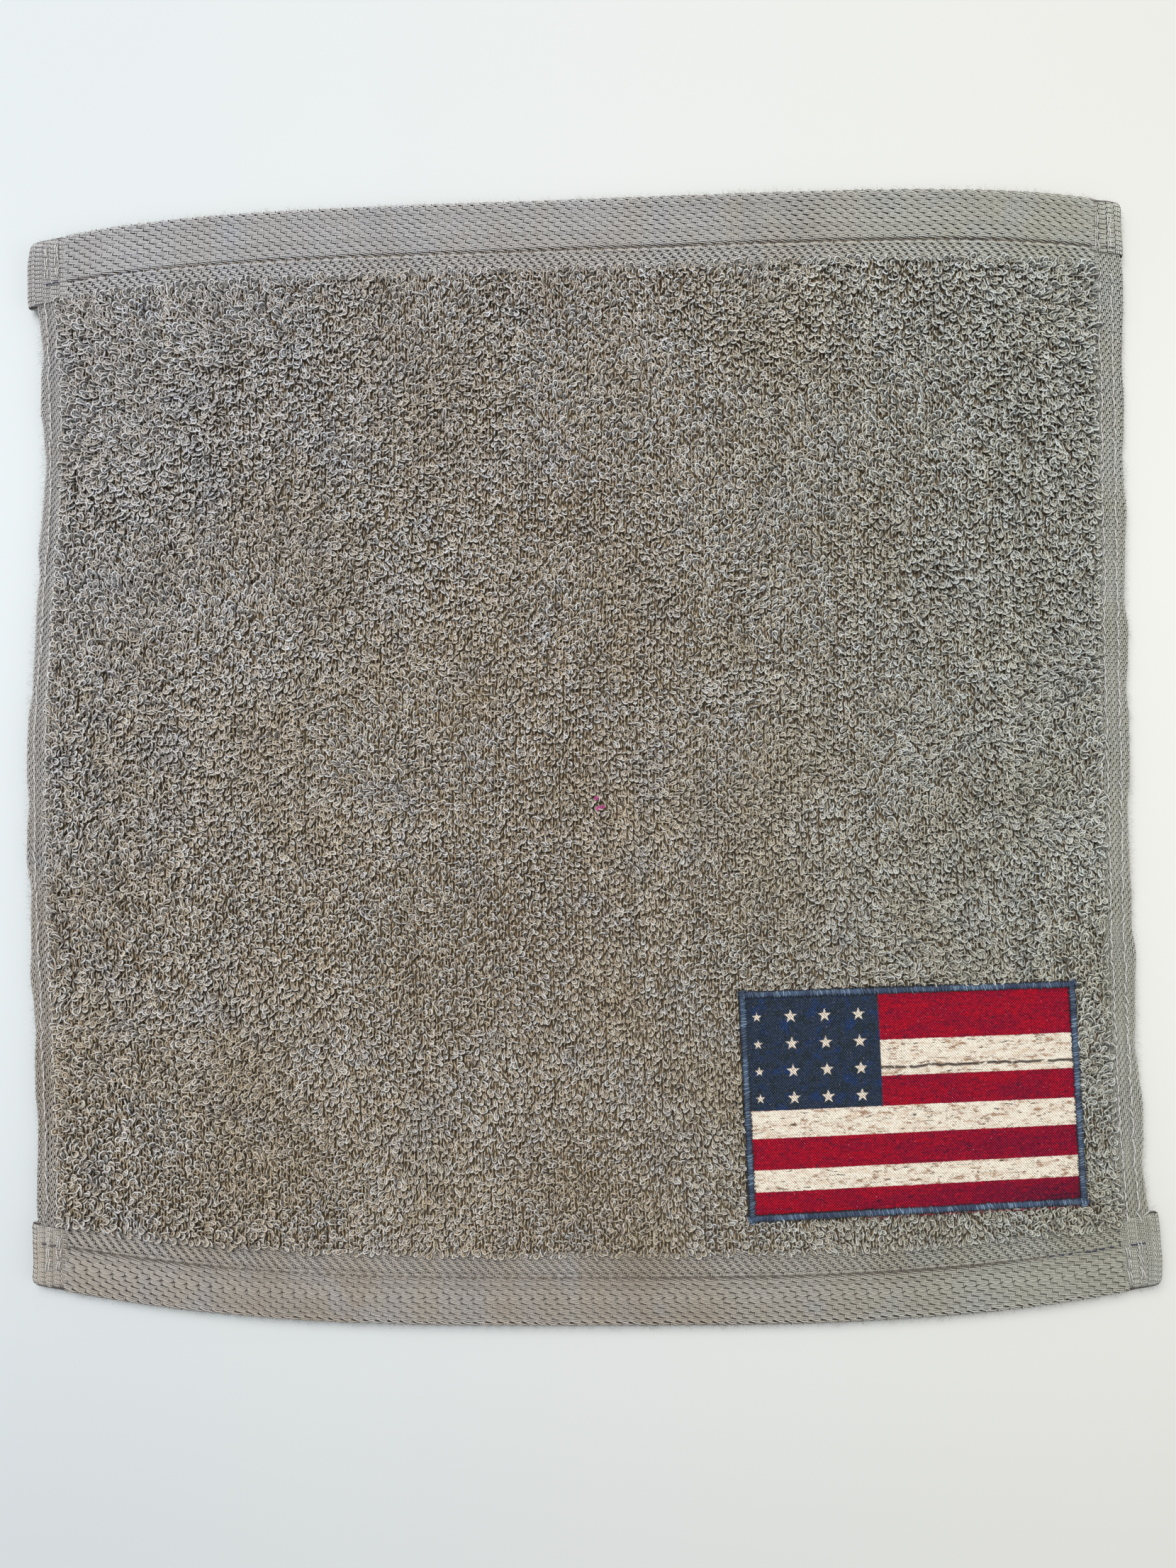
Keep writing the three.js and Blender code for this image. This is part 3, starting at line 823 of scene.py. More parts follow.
def weave_rows(parts, run, weave, first, last, seed, sides=4):
    """Rows of floats from arc first to last."""
    rng = np.random.default_rng(seed)
    count, rows = row_places(weave, first, last)
    index = np.round(rows / weave.row).astype(int)
    steps = max(8, int(run.length / weave.float_length * weave.steps))
    along = np.linspace(0, run.length, steps)[None, :]
    first_phase = (weave.shift * index) % 1 + rng.normal(0, 0.03, count)
    drift = 0.8 * (smooth_noise(along, rows[:, None], 23.0, seed) - 0.5)
    phase = along / weave.float_length + first_phase[:, None] + drift
    swell = np.abs(np.sin(math.pi * phase)) ** 0.7
    slant = weave.slant * np.cos(math.pi * (phase % 1))
    wander = slant + weave.sway * (smooth_noise(along, rows[:, None], 9.0, seed + 1) - 0.5)
    spread = (np.arange(weave.yarns) - (weave.yarns - 1) / 2) * weave.row / weave.yarns
    shape = (count, weave.yarns, steps)
    arc = np.broadcast_to(
        rows[:, None, None] + spread[None, :, None] * (0.55 + 0.62 * swell[:, None, :]) + wander[:, None, :],
        shape,
    )
    crown = 1 - 0.3 * np.abs(spread / max(weave.row, 1e-6))[None, :, None]
    jitter = rng.normal(0, 0.02, (count, weave.yarns, 1))
    out = np.broadcast_to(0.06 + weave.swell * swell[:, None, :] * crown + jitter, shape)
    place = run.place(np.broadcast_to(along[None], shape), arc, out).reshape(-1, steps, 3)
    parts.tubes(place, weave.radius, UPWARD, sides)

    tie_along, tie_arc = [], []
    for row, offset in zip(rows, first_phase):
        spots = (np.arange(-1, run.length / weave.float_length + 1) - offset) * weave.float_length
        spots = spots - 0.8 * (smooth_noise(spots, row, 23.0, seed) - 0.5) * weave.float_length
        spots = spots[(spots > 0.4) & (spots < run.length - 0.4)]
        tie_along.append(spots)
        tie_arc.append(row + weave.sway * (smooth_noise(spots, row, 9.0, seed + 1) - 0.5))
    tie_along, tie_arc = np.concatenate(tie_along), np.concatenate(tie_arc)
    reach = np.array([-0.56, -0.34, 0.0, 0.34, 0.56]) * weave.row
    rise = np.array([-0.1, 0.44, 0.6, 0.44, -0.1]) * (weave.radius / 0.235)
    lean = rng.normal(0.16, 0.1, (len(tie_along), 1))
    along = np.clip(tie_along[:, None] + lean * np.array([-1, -0.5, 0, 0.5, 1.0]), 0, run.length)
    out = 0.06 + rise + rng.normal(0, 0.03, (len(tie_along), 1))
    place = run.place(along, tie_arc[:, None] + reach[None, :], out)
    sideways = unit(np.cross(np.gradient(place, axis=1), [0.0, 0.0, 1.0]))
    parts.tubes(place, weave.radius * 0.85, np.cross(sideways, np.gradient(place, axis=1)), 3)


def backing_rows(parts, run, weave, first, last, seed):
    """The turned-under side, which lies on the table: one plain yarn to a row."""
    count, rows = row_places(weave, first, last)
    steps = max(8, int(run.length / weave.float_length * 4))
    along = np.broadcast_to(np.linspace(0, run.length, steps)[None, :], (count, steps))
    phase = along / weave.float_length + 0.5 * (np.arange(count)[:, None] % 2)
    out = -0.05 + 0.1 * np.sin(2 * math.pi * phase)
    wander = 0.2 * (smooth_noise(along, rows[:, None], 9.0, seed) - 0.5)
    place = run.place(along, rows[:, None] + wander, out)
    parts.tubes(place, weave.row * 0.3, UPWARD, 4)


def folded_core(parts, run, steps):
    """The cloth inside the yarns, as one closed skin."""
    arcs = np.concatenate(
        [
            np.linspace(run.inner - run.start, 0, 6, endpoint=False),
            np.linspace(0, -run.fold, 8, endpoint=False),
            np.linspace(-run.fold, -run.fold - (run.inner - run.start), 6),
        ]
    )
    along = np.linspace(0, run.length, steps)
    grid_along, grid_arc = np.meshgrid(along, arcs, indexing="ij")
    parts.sweep(run.place(grid_along, grid_arc, -0.12))


def folded_piece(name, run, weave, material, seed, sides=4):
    parts = MeshParts()
    reach = run.inner - run.start
    folded_core(parts, run, max(6, int(run.length / 4)))
    weave_rows(parts, run, weave, -run.fold, reach, seed, sides)
    backing_rows(parts, run, weave, -run.fold - reach, -run.fold, seed + 5)
    return parts.build(name, material)


def stitch_row(parts, run, inset, length, gap, wobble, radius, rng, low=-0.15, high=0.5):
    """Separate stitches along a run: each dives into the cloth at both ends."""
    starts = np.cumsum(rng.normal(length + gap, 0.25, int(run.length / (length + gap)) + 3))
    starts = starts[starts < run.length - length] - length * 0.5
    n = len(starts)
    t = np.array([0.0, 0.12, 0.35, 0.65, 0.88, 1.0])
    spans = length * rng.uniform(0.82, 1.12, (n, 1))
    along = np.clip(starts[:, None] + spans * t, 0.2, run.length - 0.2)
    drift = 0.5 * (smooth_noise(along, along * 0 + inset * 7, 18.0, 77) - 0.5)
    sway = rng.normal(0, wobble, (n, 1)) * np.linspace(-1, 1, 6) + rng.normal(0, wobble * 0.5, (n, 1))
    rise = np.array([low, high * 0.7, high, high, high * 0.7, low])
    out = rise * rng.uniform(0.85, 1.2, (n, 1))
    arc = inset - run.start - (run.top - YARN_FLOOR) / 2 + drift + sway
    place = run.place(along, arc, out)
    parts.tubes(place, radius, UPWARD, 4)


def loose_thread(parts, points, radius, steps=18):
    """A short thread end through given points, as one smooth curve."""
    points = np.asarray(points, float)
    t = np.linspace(0, len(points) - 1, steps)
    smooth = np.empty((steps, 3))
    padded = np.concatenate([[2 * points[0] - points[1]], points, [2 * points[-1] - points[-2]]])
    for place, value in enumerate(t):
        i = min(int(value), len(points) - 2)
        f = value - i
        a, b, c, d = padded[i:i + 4]
        smooth[place] = 0.5 * (
            2 * b + (c - a) * f + (2 * a - 5 * b + 4 * c - d) * f**2 + (3 * b - a - 3 * c + d) * f**3
        )
    taper = np.concatenate([np.full(steps - 3, radius), [radius * 0.9, radius * 0.7, radius * 0.35]])
    parts.tubes(smooth[None], taper[None], np.array([[[0.1, 0.05, 1.0]]]), 5)


# --- The patch's own plane ---------------------------------------------------------

def patch_point(across, up, height):
    """Points of the patch from its own middle, in millimetres; its left side is a little taller."""
    up = up * (1 - PATCH_TAPER * across / (PATCH_WIDTH / 2))
    cos, sin = math.cos(PATCH_TURN), math.sin(PATCH_TURN)
    x = PATCH_CENTRE[0] + cos * across - sin * up
    y = PATCH_CENTRE[1] + sin * across + cos * up
    return join(x, y, height)


def patch_local(x, y):
    cos, sin = math.cos(PATCH_TURN), math.sin(PATCH_TURN)
    dx, dy = x - PATCH_CENTRE[0], y - PATCH_CENTRE[1]
    across, up = cos * dx + sin * dy, -sin * dx + cos * dy
    return across, up / (1 - PATCH_TAPER * across / (PATCH_WIDTH / 2))


def on_patch(x, y, margin):
    across, up = patch_local(x, y)
    return (np.abs(across) < PATCH_WIDTH / 2 + margin) & (np.abs(up) < PATCH_HEIGHT / 2 + margin)


def patch_height(across, up):
    """The printed cloth puffs up a little between its sewn edges."""
    side = 1 - np.abs(across / (PATCH_WIDTH / 2 - BORDER_WIDTH)) ** 6
    end = 1 - np.abs(up / (PATCH_HEIGHT / 2 - BORDER_WIDTH)) ** 6
    puff = 0.35 * np.clip(side, 0, 1) * np.clip(end, 0, 1)
    broad = 0.3 * (smooth_noise(across, up, 17.0, 61) - 0.5)
    fine = 0.12 * (smooth_noise(across, up, 6.0, 62) - 0.5)
    return PRINT_TOP + puff + (broad + fine)


# --- Sizes and colours a user can change -------------------------------------------

def size_property(name, description, size, least):
    """A length, given here in millimetres."""
    return bpy.props.FloatProperty(
        name=name, description=description, default=size * MM, min=least * MM, precision=5,
        subtype="DISTANCE", unit="LENGTH",
    )


class TowelSizes(bpy.types.PropertyGroup):
    loop_pitch: size_property("Loop pitch", "Distance between loops", 1.57, 0.8)
    loop_length: size_property("Loop length", "Length of a terry loop", 2.4, 0.5)
    loop_width: size_property("Loop width", "Width of a terry loop", 1.62, 0.3)
    loop_yarn: size_property("Loop yarn", "Radius of the pile yarn", 0.28, 0.05)
    back_pitch: size_property("Back loop pitch", "Distance between back loops", 2.6, 0.8)
    satin_pitch: size_property("Satin pitch", "Distance between border stitches", 0.45, 0.1)
    fibre_count: bpy.props.IntProperty(
        name="Loose fibres", description="Fine fibres round the edge of the cloth", default=3200, min=0
    )


def colour_property(name, description, colour):
    return bpy.props.FloatVectorProperty(
        name=name, description=description, default=colour, size=3, min=0, max=1, subtype="COLOR"
    )


class TowelColours(bpy.types.PropertyGroup):
    pile: colour_property("Pile", "Tips of the loops", rgb(234, 222, 202))
    pile_cool: colour_property("Cool pile", "Cooler loops among the others", rgb(214, 220, 228))
    foot: colour_property("Loop feet", "Feet of the loops, seen in the gaps", rgb(202, 174, 134))
    haze: colour_property("Haze", "Fibres inside the loops", rgb(186, 166, 140))
    # Painted shade: the dark brown the loops take deep between them.
    pile_root_shade: colour_property("Pile root", "Depths between the loops", rgb(122, 96, 66))
    ground: colour_property("Ground", "Ground cloth under the loops", rgb(170, 150, 120))
    band: colour_property("Band", "Hem bands", rgb(187, 183, 178))
    # Painted shade between the yarns of the bands and side hems.
    band_gap_shade: colour_property("Band gaps", "Between the yarns of the bands", rgb(92, 86, 80))
    hem: colour_property("Side hem", "Side hems and corners", rgb(206, 202, 196))
    stitch: colour_property("Stitches", "Pale thread of the side hems", rgb(216, 213, 209))
    seam: colour_property("Seam", "Dark thread of the hem seams", rgb(46, 52, 76))
    red: colour_property("Red", "Bright red stripes", rgb(168, 2, 36))
    wine: colour_property("Wine", "Darker red of the stripes", rgb(132, 4, 46))
    cream: colour_property("Cream", "Pale stripes", rgb(254, 244, 226))
    navy: colour_property("Navy", "Star panel", rgb(38, 52, 72))
    border: colour_property("Border", "Crown of the satin border", rgb(66, 88, 118))
    border_edge: colour_property("Border edge", "Shaded edge of the satin border", rgb(16, 22, 42))
    lint: colour_property("Lint", "Specks of lint", rgb(226, 40, 160))


def settings(context):
    return context.scene.towel_sizes, context.scene.towel_colours


def keep(piece, slot, *nodes):
    """The piece rides on the cloth and stands for these nodes, which it hides; slot is not used."""
    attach(piece, "root")
    if nodes:
        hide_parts(*nodes)
    return piece


# --- The pieces --------------------------------------------------------------------

FIELD_LEFT = 6.2
FIELD_RIGHT = 8.4
FIELD_TOP = 20.6
FIELD_BOTTOM = 19.8
FIELD_ACROSS = CLOTH_WIDTH - FIELD_LEFT - FIELD_RIGHT
FIELD_TALL = CLOTH_HEIGHT - FIELD_TOP - FIELD_BOTTOM
# How far in from the edges the ground sheet starts, under the side hems and the bands.
SIDE_TUCK = 5.0
BAND_TUCK = 14.3
PILE_STRIPS = 12
BACK_STRIPS = 3
FOOT_STRIPS = 6


class TOWEL_OT_ground(bpy.types.Operator):
    """Ground cloth under the loops, as one thin sheet"""
    bl_idname = "towel.ground"
    bl_label = "Ground cloth"

    def execute(self, context):
        _, colours = settings(context)
        side, end = SIDE_TUCK / CLOTH_WIDTH, BAND_TUCK / CLOTH_HEIGHT
        u = np.linspace(side, 1 - side, 130)
        v = np.linspace(end, 1 - end, 130)
        x, y = cloth_point(*np.meshgrid(u, v))
        z = GROUND_TOP - 0.15 + cloth_lift(x, y)
        parts = MeshParts()
        parts.sheet(join(x, y, z), 0.4)
        piece = parts.build("ground_sheet", ground_material(colours))
        keep(piece, "ground", "ground_cloth")
        return {"FINISHED"}


def field_point(u, v):
    """x and y of the point at shares u and v of the field of pile."""
    inset_x, inset_y = FIELD_LEFT + FIELD_ACROSS * u, FIELD_BOTTOM + FIELD_TALL * v
    return cloth_point(inset_x / CLOTH_WIDTH, inset_y / CLOTH_HEIGHT)


def keep_strips(name, count, v, material, node, lay):
    """One piece for each strip of the field, from the bottom up; lay adds the strip's own yarns."""
    strip = np.minimum((v * count).astype(int), count - 1)
    for number in range(count):
        parts = MeshParts()
        lay(parts, strip == number)
        keep(parts.build(name.format(number + 1), material), "pile", node)


def loop_roots(pitch, rng):
    """Jittered places for the roots of the loops, all over the field."""
    columns, rows = int(FIELD_ACROSS / pitch), int(FIELD_TALL / pitch)
    i, j = np.meshgrid(np.arange(columns), np.arange(rows))
    shift = 0.5 * (j % 2)
    u = (i + 0.25 + shift * 0.5 + rng.uniform(-0.42, 0.42, i.shape)) / columns
    v = (j + 0.5 + rng.uniform(-0.42, 0.42, i.shape)) / rows
    x, y = field_point(u, v)
    return u.ravel(), v.ravel(), x.ravel(), y.ravel()


def loop_paths(x, y, theta, rise, roll, length, width, root, droop, steps):
    """Teardrop loops that lean over: one closed path each, with the normal of its plane."""
    lean = join(np.cos(rise) * np.cos(theta), np.cos(rise) * np.sin(theta), np.sin(rise))
    level = join(-np.sin(theta), np.cos(theta), 0 * theta)
    upper = np.cross(lean, level)
    broad = np.cos(roll)[:, None] * level + np.sin(roll)[:, None] * upper
    normal = np.cross(lean, broad)
    t = np.linspace(0.0, 1.0, steps)
    reach = 0.5 - 0.5 * np.cos(2 * math.pi * t)
    span = np.sin(2 * math.pi * t) * (0.3 + 0.75 * reach)
    path = (
        join(x, y, root)[:, None, :]
        + lean[:, None, :] * (length[:, None] * reach)[..., None]
        + broad[:, None, :] * (0.62 * width[:, None] * span)[..., None]
    )
    path[..., 2] -= droop[:, None] * reach**3
    return path, normal[:, None, :]


def leg_paths(rng):
    """Short upright strokes in columns: the feet of the loops, seen in the gaps between them."""
    columns, rows = int(FIELD_ACROSS / 1.0), int(FIELD_TALL / 2.3)
    i, j = np.meshgrid(np.arange(columns), np.arange(rows))
    u = ((i + 0.5 + rng.normal(0, 0.08, i.shape)) / columns).ravel()
    v = ((j + 0.5 + 0.5 * (i % 2) + rng.uniform(-0.2, 0.2, i.shape)) / (rows + 0.5)).ravel()
    x, y = field_point(u, v)
    t = np.linspace(0, 1, 4)[None, :]
    half = rng.uniform(0.85, 1.35, (len(x), 1))
    slant = rng.normal(0, 0.18, (len(x), 1))
    rise = rng.uniform(0.7, 1.5, (len(x), 1))
    path = join(
        x[:, None] + slant * (t - 0.5) * 2,
        y[:, None] + half * (t - 0.5) * 2,
        (GROUND_TOP - 0.15 + cloth_lift(x, y))[:, None] + rise * np.sin(math.pi * t),
    )
    clear = ~on_patch(x, y, -1.2)
    return path[clear], v[clear]


class TOWEL_OT_front_legs(bpy.types.Operator):
    """The feet of the front loops, packed in upright columns on the ground cloth"""
    bl_idname = "towel.front_legs"
    bl_label = "Front loop feet"

    def execute(self, context):
        sizes, colours = settings(context)
        path, v = leg_paths(np.random.default_rng(SEEDS["feet"]))
        material = pile_material(
            colours, "loop foot yarn", 1.9, 2.9, colours.foot, rgb(196, 186, 168), 0.5
        )
        radius = sizes.loop_yarn / MM * 1.15
        sideways = np.array([[[1.0, 0.0, 0.0]]])
        keep_strips(
            "front_feet_{}", FOOT_STRIPS, v, material, "front_pile",
            lambda parts, mine: parts.tubes(path[mine], radius, sideways, 3),
        )
        return {"FINISHED"}


class TOWEL_OT_front_pile(bpy.types.Operator):
    """Terry loops on the face, each one a yarn of its own, in strips"""
    bl_idname = "towel.front_pile"
    bl_label = "Front pile"

    def execute(self, context):
        sizes, colours = settings(context)
        rng = np.random.default_rng(SEEDS["front"])
        u, v, x, y = loop_roots(sizes.loop_pitch / MM, rng)
        clear = ~on_patch(x, y, -0.1)
        u, v, x, y = u[clear], v[clear], x[clear], y[clear]
        n = len(x)
        theta = 2 * math.pi * 1.5 * smooth_noise(x, y, 48.0, 3) + rng.normal(0, 0.75, n)
        rise = np.radians(np.clip(rng.normal(32, 15, n), 6, 70))
        roll = np.radians(rng.normal(0, 36, n))
        tufted = 0.9 + 0.26 * smooth_noise(x, y, 12.0, 5)
        length = sizes.loop_length / MM * rng.uniform(0.75, 1.25, n) * tufted
        width = sizes.loop_width / MM * rng.uniform(0.5, 1.3, n)
        size = 0.84 + 0.26 * np.abs(2 * u - 1) ** 1.6
        length, width = length * size, width * size
        big = rng.random(n) < 0.012
        length, width = np.where(big, length * 1.35, length), np.where(big, width * 1.3, width)
        theta = self.lean_out(u, v, theta)
        root = GROUND_TOP + 0.35 + cloth_lift(x, y)
        droop = rng.uniform(0.0, 0.5, n) * length * 0.4
        x, y = x - 0.45 * length * np.cos(theta), y - 0.45 * length * np.sin(theta)
        path, normal = loop_paths(x, y, theta, rise, roll, length, width, root, droop, 10)
        floor = (root - 0.1)[:, None]
        path[..., 2] = np.maximum(path[..., 2], floor)
        material = pile_material(
            colours, "front pile yarn", 2.7, 4.2, colours.pile, colours.pile_cool
        )
        radius = sizes.loop_yarn / MM * (rng.uniform(0.82, 1.12, n) * (0.4 + 0.6 * size))[:, None]
        keep_strips(
            "front_pile_{:02d}", PILE_STRIPS, v, material, "front_pile",
            lambda parts, mine: parts.tubes(path[mine], radius[mine], normal[mine], 3),
        )
        inside = pile_material(
            colours, "fibres inside the loops", 2.4, 3.8, colours.haze, rgb(172, 168, 166), 0.66
        )
        outline = path[:, 2:-2] - (0.0, 0.0, 0.12)
        keep_strips(
            "loop_haze_{}", FOOT_STRIPS, v, inside, "front_pile",
            lambda parts, mine: parts.leaves(outline[mine], normal[mine], 0.1),
        )
        return {"FINISHED"}

    @staticmethod
    def lean_out(u, v, theta):
        """Loops beside a hem lean out over it."""
        outward = ((u, math.pi), (1 - u, 0.0), (v, -math.pi / 2), (1 - v, math.pi / 2))
        for share, heading in outward:
            pull = np.clip(1 - share * CLOTH_WIDTH / 2.6, 0, 1) * 0.8
            gap = (heading - theta + math.pi) % (2 * math.pi) - math.pi
            theta = theta + gap * pull
        return theta


class TOWEL_OT_back_pile(bpy.types.Operator):
    """Terry loops on the back, pressed flat against the table"""
    bl_idname = "towel.back_pile"
    bl_label = "Back pile"

    def execute(self, context):
        sizes, colours = settings(context)
        rng = np.random.default_rng(SEEDS["back"])
        _, v, x, y = loop_roots(sizes.back_pitch / MM, rng)
        n = len(x)
        theta = 2 * math.pi * 1.6 * smooth_noise(x, y, 34.0, 8) + rng.normal(0, 0.6, n)
        rise = np.radians(-np.clip(rng.normal(30, 8, n), 14, 46))
        roll = np.radians(rng.normal(0, 22, n))
        length = 2.7 * rng.uniform(0.85, 1.15, n)
        width = 1.5 * rng.uniform(0.8, 1.2, n)
        root = GROUND_TOP - 0.5 + cloth_lift(x, y)
        path, normal = loop_paths(x, y, theta, rise, roll, length, width, root, 0 * x, 6)
        path[..., 2] = np.clip(path[..., 2], sizes.loop_yarn / MM + 0.05, root[:, None])
        material = pile_material(
            colours, "back pile yarn", 3.0, 1.0, colours.pile, colours.pile_cool, 0.8
        )
        radius = sizes.loop_yarn / MM * 1.1
        keep_strips(
            "back_pile_{}", BACK_STRIPS, v, material, "back_pile",
            lambda parts, mine: parts.tubes(path[mine], radius, normal[mine], 3),
        )
        return {"FINISHED"}


BAND_SHARE = 0.86 * CORNER_WIDTH / CLOTH_WIDTH
SIDE_SHARE = 15.5 / CLOTH_HEIGHT


class TOWEL_OT_hem_bands(bpy.types.Operator):
    """Dobby-woven bands turned under at the top and bottom, and the flat strips beside them"""
    bl_idname = "towel.hem_bands"
    bl_label = "Hem bands"

    def execute(self, context):
        _, colours = settings(context)
        band = woven_material(
            "dobby band yarn", colours.band, colours.band_gap_shade, 2.5, 3.2
        )
        flat = woven_material(
            "flat strip yarn", colours.band, colours.band_gap_shade, 2.5, 3.15
        )
        for seed, edge in enumerate(("top", "bottom")):
            width, flat_width, seam = BANDS[edge]
            run = Run(edge, BAND_SHARE, 1 - BAND_SHARE, YARN_ROOM, HEM_TOP, width - YARN_ROOM, seam)
            piece = folded_piece(f"{edge}_band_weave", run, HEM_WEAVE, band, 100 + 10 * seed)
            keep(piece, "band", f"{edge}_hem_band")
            parts = MeshParts()
            strip = Run(edge, BAND_SHARE, 1 - BAND_SHARE, 0.0, HEM_TOP, OPEN_WIDTH, seam)
            radius = (HEM_TOP - YARN_FLOOR) / 2
            first, last = width - 0.5 - radius, width + flat_width + 0.9 - radius
            s, inset = np.meshgrid(
                np.linspace(BAND_SHARE, 1 - BAND_SHARE, 110), np.linspace(width, width + flat_width + 0.8, 6)
            )
            x, y = EDGES[edge](s, inset)
            parts.sheet(join(x, y, HEM_TOP - 0.02 + cloth_lift(x, y)), 0.3)
            weave_rows(parts, strip, STRIP_WEAVE, first, last, 140 + seed, 3)
            keep(parts.build(f"{edge}_strip_weave", flat), "band", f"{edge}_flat_strip")
        return {"FINISHED"}


# Each corner: its edge, the end of the edge it is at, how long it is and how far it stands out.
CORNERS = {
    "top_left": ("left", 0, 20.8, 2.4),
    "bottom_left": ("left", 1, 19.0, 1.6),
    "top_right": ("right", 1, 16.8, 0.6),
    "bottom_right": ("right", 0, 21.4, 2.2),
}


class TOWEL_OT_side_hems(bpy.types.Operator):
    """Folded side hems, and the thicker corners where they go inside the bands"""
    bl_idname = "towel.side_hems"
    bl_label = "Side hems"

    def execute(self, context):
        _, colours = settings(context)
        side = woven_material(
            "side hem yarn", colours.hem, colours.band_gap_shade, 2.4, 3.1, "y"
        )
        corner = woven_material(
            "corner fold yarn", colours.hem, colours.band_gap_shade, 3.0, 3.7, "y"
        )
        for seed, (edge, width) in enumerate((("left", LEFT_HEM_WIDTH), ("right", RIGHT_HEM_WIDTH))):
            run = Run(edge, SIDE_SHARE, 1 - SIDE_SHARE, YARN_ROOM, HEM_TOP, width, wavy=0.8, thin=0.5)
            piece = folded_piece(f"{edge}_hem_weave", run, SIDE_WEAVE, side, 200 + 10 * seed, 3)
            keep(piece, "hem", f"{edge}_side_hem")
        for seed, (name, (edge, end, length, proud)) in enumerate(CORNERS.items()):
            share = length / CLOTH_HEIGHT
            s0, s1 = (0.0, share) if end == 0 else (1 - share, 1.0)
            start = YARN_ROOM - proud
            run = Run(edge, s0, s1, start, CORNER_TOP, CORNER_WIDTH - start, None, end, 0.6, 0.75)
            piece = folded_piece(f"{name}_corner_weave", run, CORNER_WEAVE, corner, 300 + 10 * seed)
            keep(piece, "hem", f"{name}_corner_fold")
        return {"FINISHED"}


class TOWEL_OT_stitches(bpy.types.Operator):
    """Two rows of pale stitches on each side hem, and the dark seams of the bands"""
    bl_idname = "towel.stitches"
    bl_label = "Stitches and seams"

    def execute(self, context):
        _, colours = settings(context)
        pale = thread_material("pale sewing thread", colours.stitch, rgb(176, 172, 172))
        rng = np.random.default_rng(SEEDS["stitches"])
        for edge in ("left", "right"):
            for row, inset in STITCH_INSETS[edge].items():
                parts = MeshParts()
                self.corner_rows(parts, edge, 0.004, 0.055, inset, rng)
                run = Run(edge, 0.055, 0.945, 0.0, HEM_TOP, OPEN_WIDTH)
                stitch_row(parts, run, inset, 3.0, 0.1, 0.3, 0.21, rng, low=0.35, high=1.0)
                self.corner_rows(parts, edge, 0.945, 0.996, inset, rng)
                if (edge, row) == ("right", "outer"):
                    self.thread_ends(parts)
                keep(parts.build(f"{edge}_{row}_thread", pale), "stitch_thread", f"{edge}_{row}_stitches")
        dark = seam_material(colours)
        for edge in ("top", "bottom"):
            parts = MeshParts()
            seam = BANDS[edge][2]
            run = Run(edge, BAND_SHARE, 1 - BAND_SHARE, 0.0, HEM_TOP, OPEN_WIDTH, seam)
            sewn = (seam, 1.9, 0.5, 0.14, 0.2, rng, 0.3)
            stitch_row(parts, run, *sewn, high=0.75)
            for s0, s1 in ((0.002, BAND_SHARE), (1 - BAND_SHARE, 0.998)):
                run = Run(edge, s0, s1, 0.0, CORNER_TOP, OPEN_WIDTH)
                stitch_row(parts, run, *sewn, high=0.85)
            keep(parts.build(f"{edge}_seam_thread", dark), "seam_thread", f"{edge}_hem_seam")
        return {"FINISHED"}

    @staticmethod
    def corner_rows(parts, edge, s0, s1, inset, rng):
        """Over a corner fold the row is sewn twice, a little farther in."""
        run = Run(edge, s0, s1, 0.0, CORNER_TOP, OPEN_WIDTH)
        for offset in (0.8 - 0.32, 0.8 + 0.32):
            stitch_row(parts, run, inset + offset, 3.3, 0.3, 0.2, 0.16, rng, low=0.2, high=0.85)

    @staticmethod
    def thread_ends(parts):
        """A pale tail by the lower right corner, and a short one at the upper right."""
        x, y = cloth_point(1 - 5.0 / CLOTH_WIDTH, 22.0 / CLOTH_HEIGHT)
        tail = [(-3.5, 0.2, 3.1), (-0.5, -0.9, 3.6), (2.6, -0.4, 3.7), (5.4, 1.6, 3.4), (7.4, 2.6, 2.2)]
        loose_thread(parts, [(x + dx, y + dy, z) for dx, dy, z in tail], 0.15)
        x, y = cloth_point(1 - 3.0 / CLOTH_WIDTH, 1 - 8.0 / CLOTH_HEIGHT)
        tail = [(-1.2, -2.2, 3.4), (-0.6, -0.4, 3.9), (0.6, 0.6, 4.0), (1.9, 0.7, 3.7)]
        loose_thread(parts, [(x + dx, y + dy, z) for dx, dy, z in tail], 0.17)


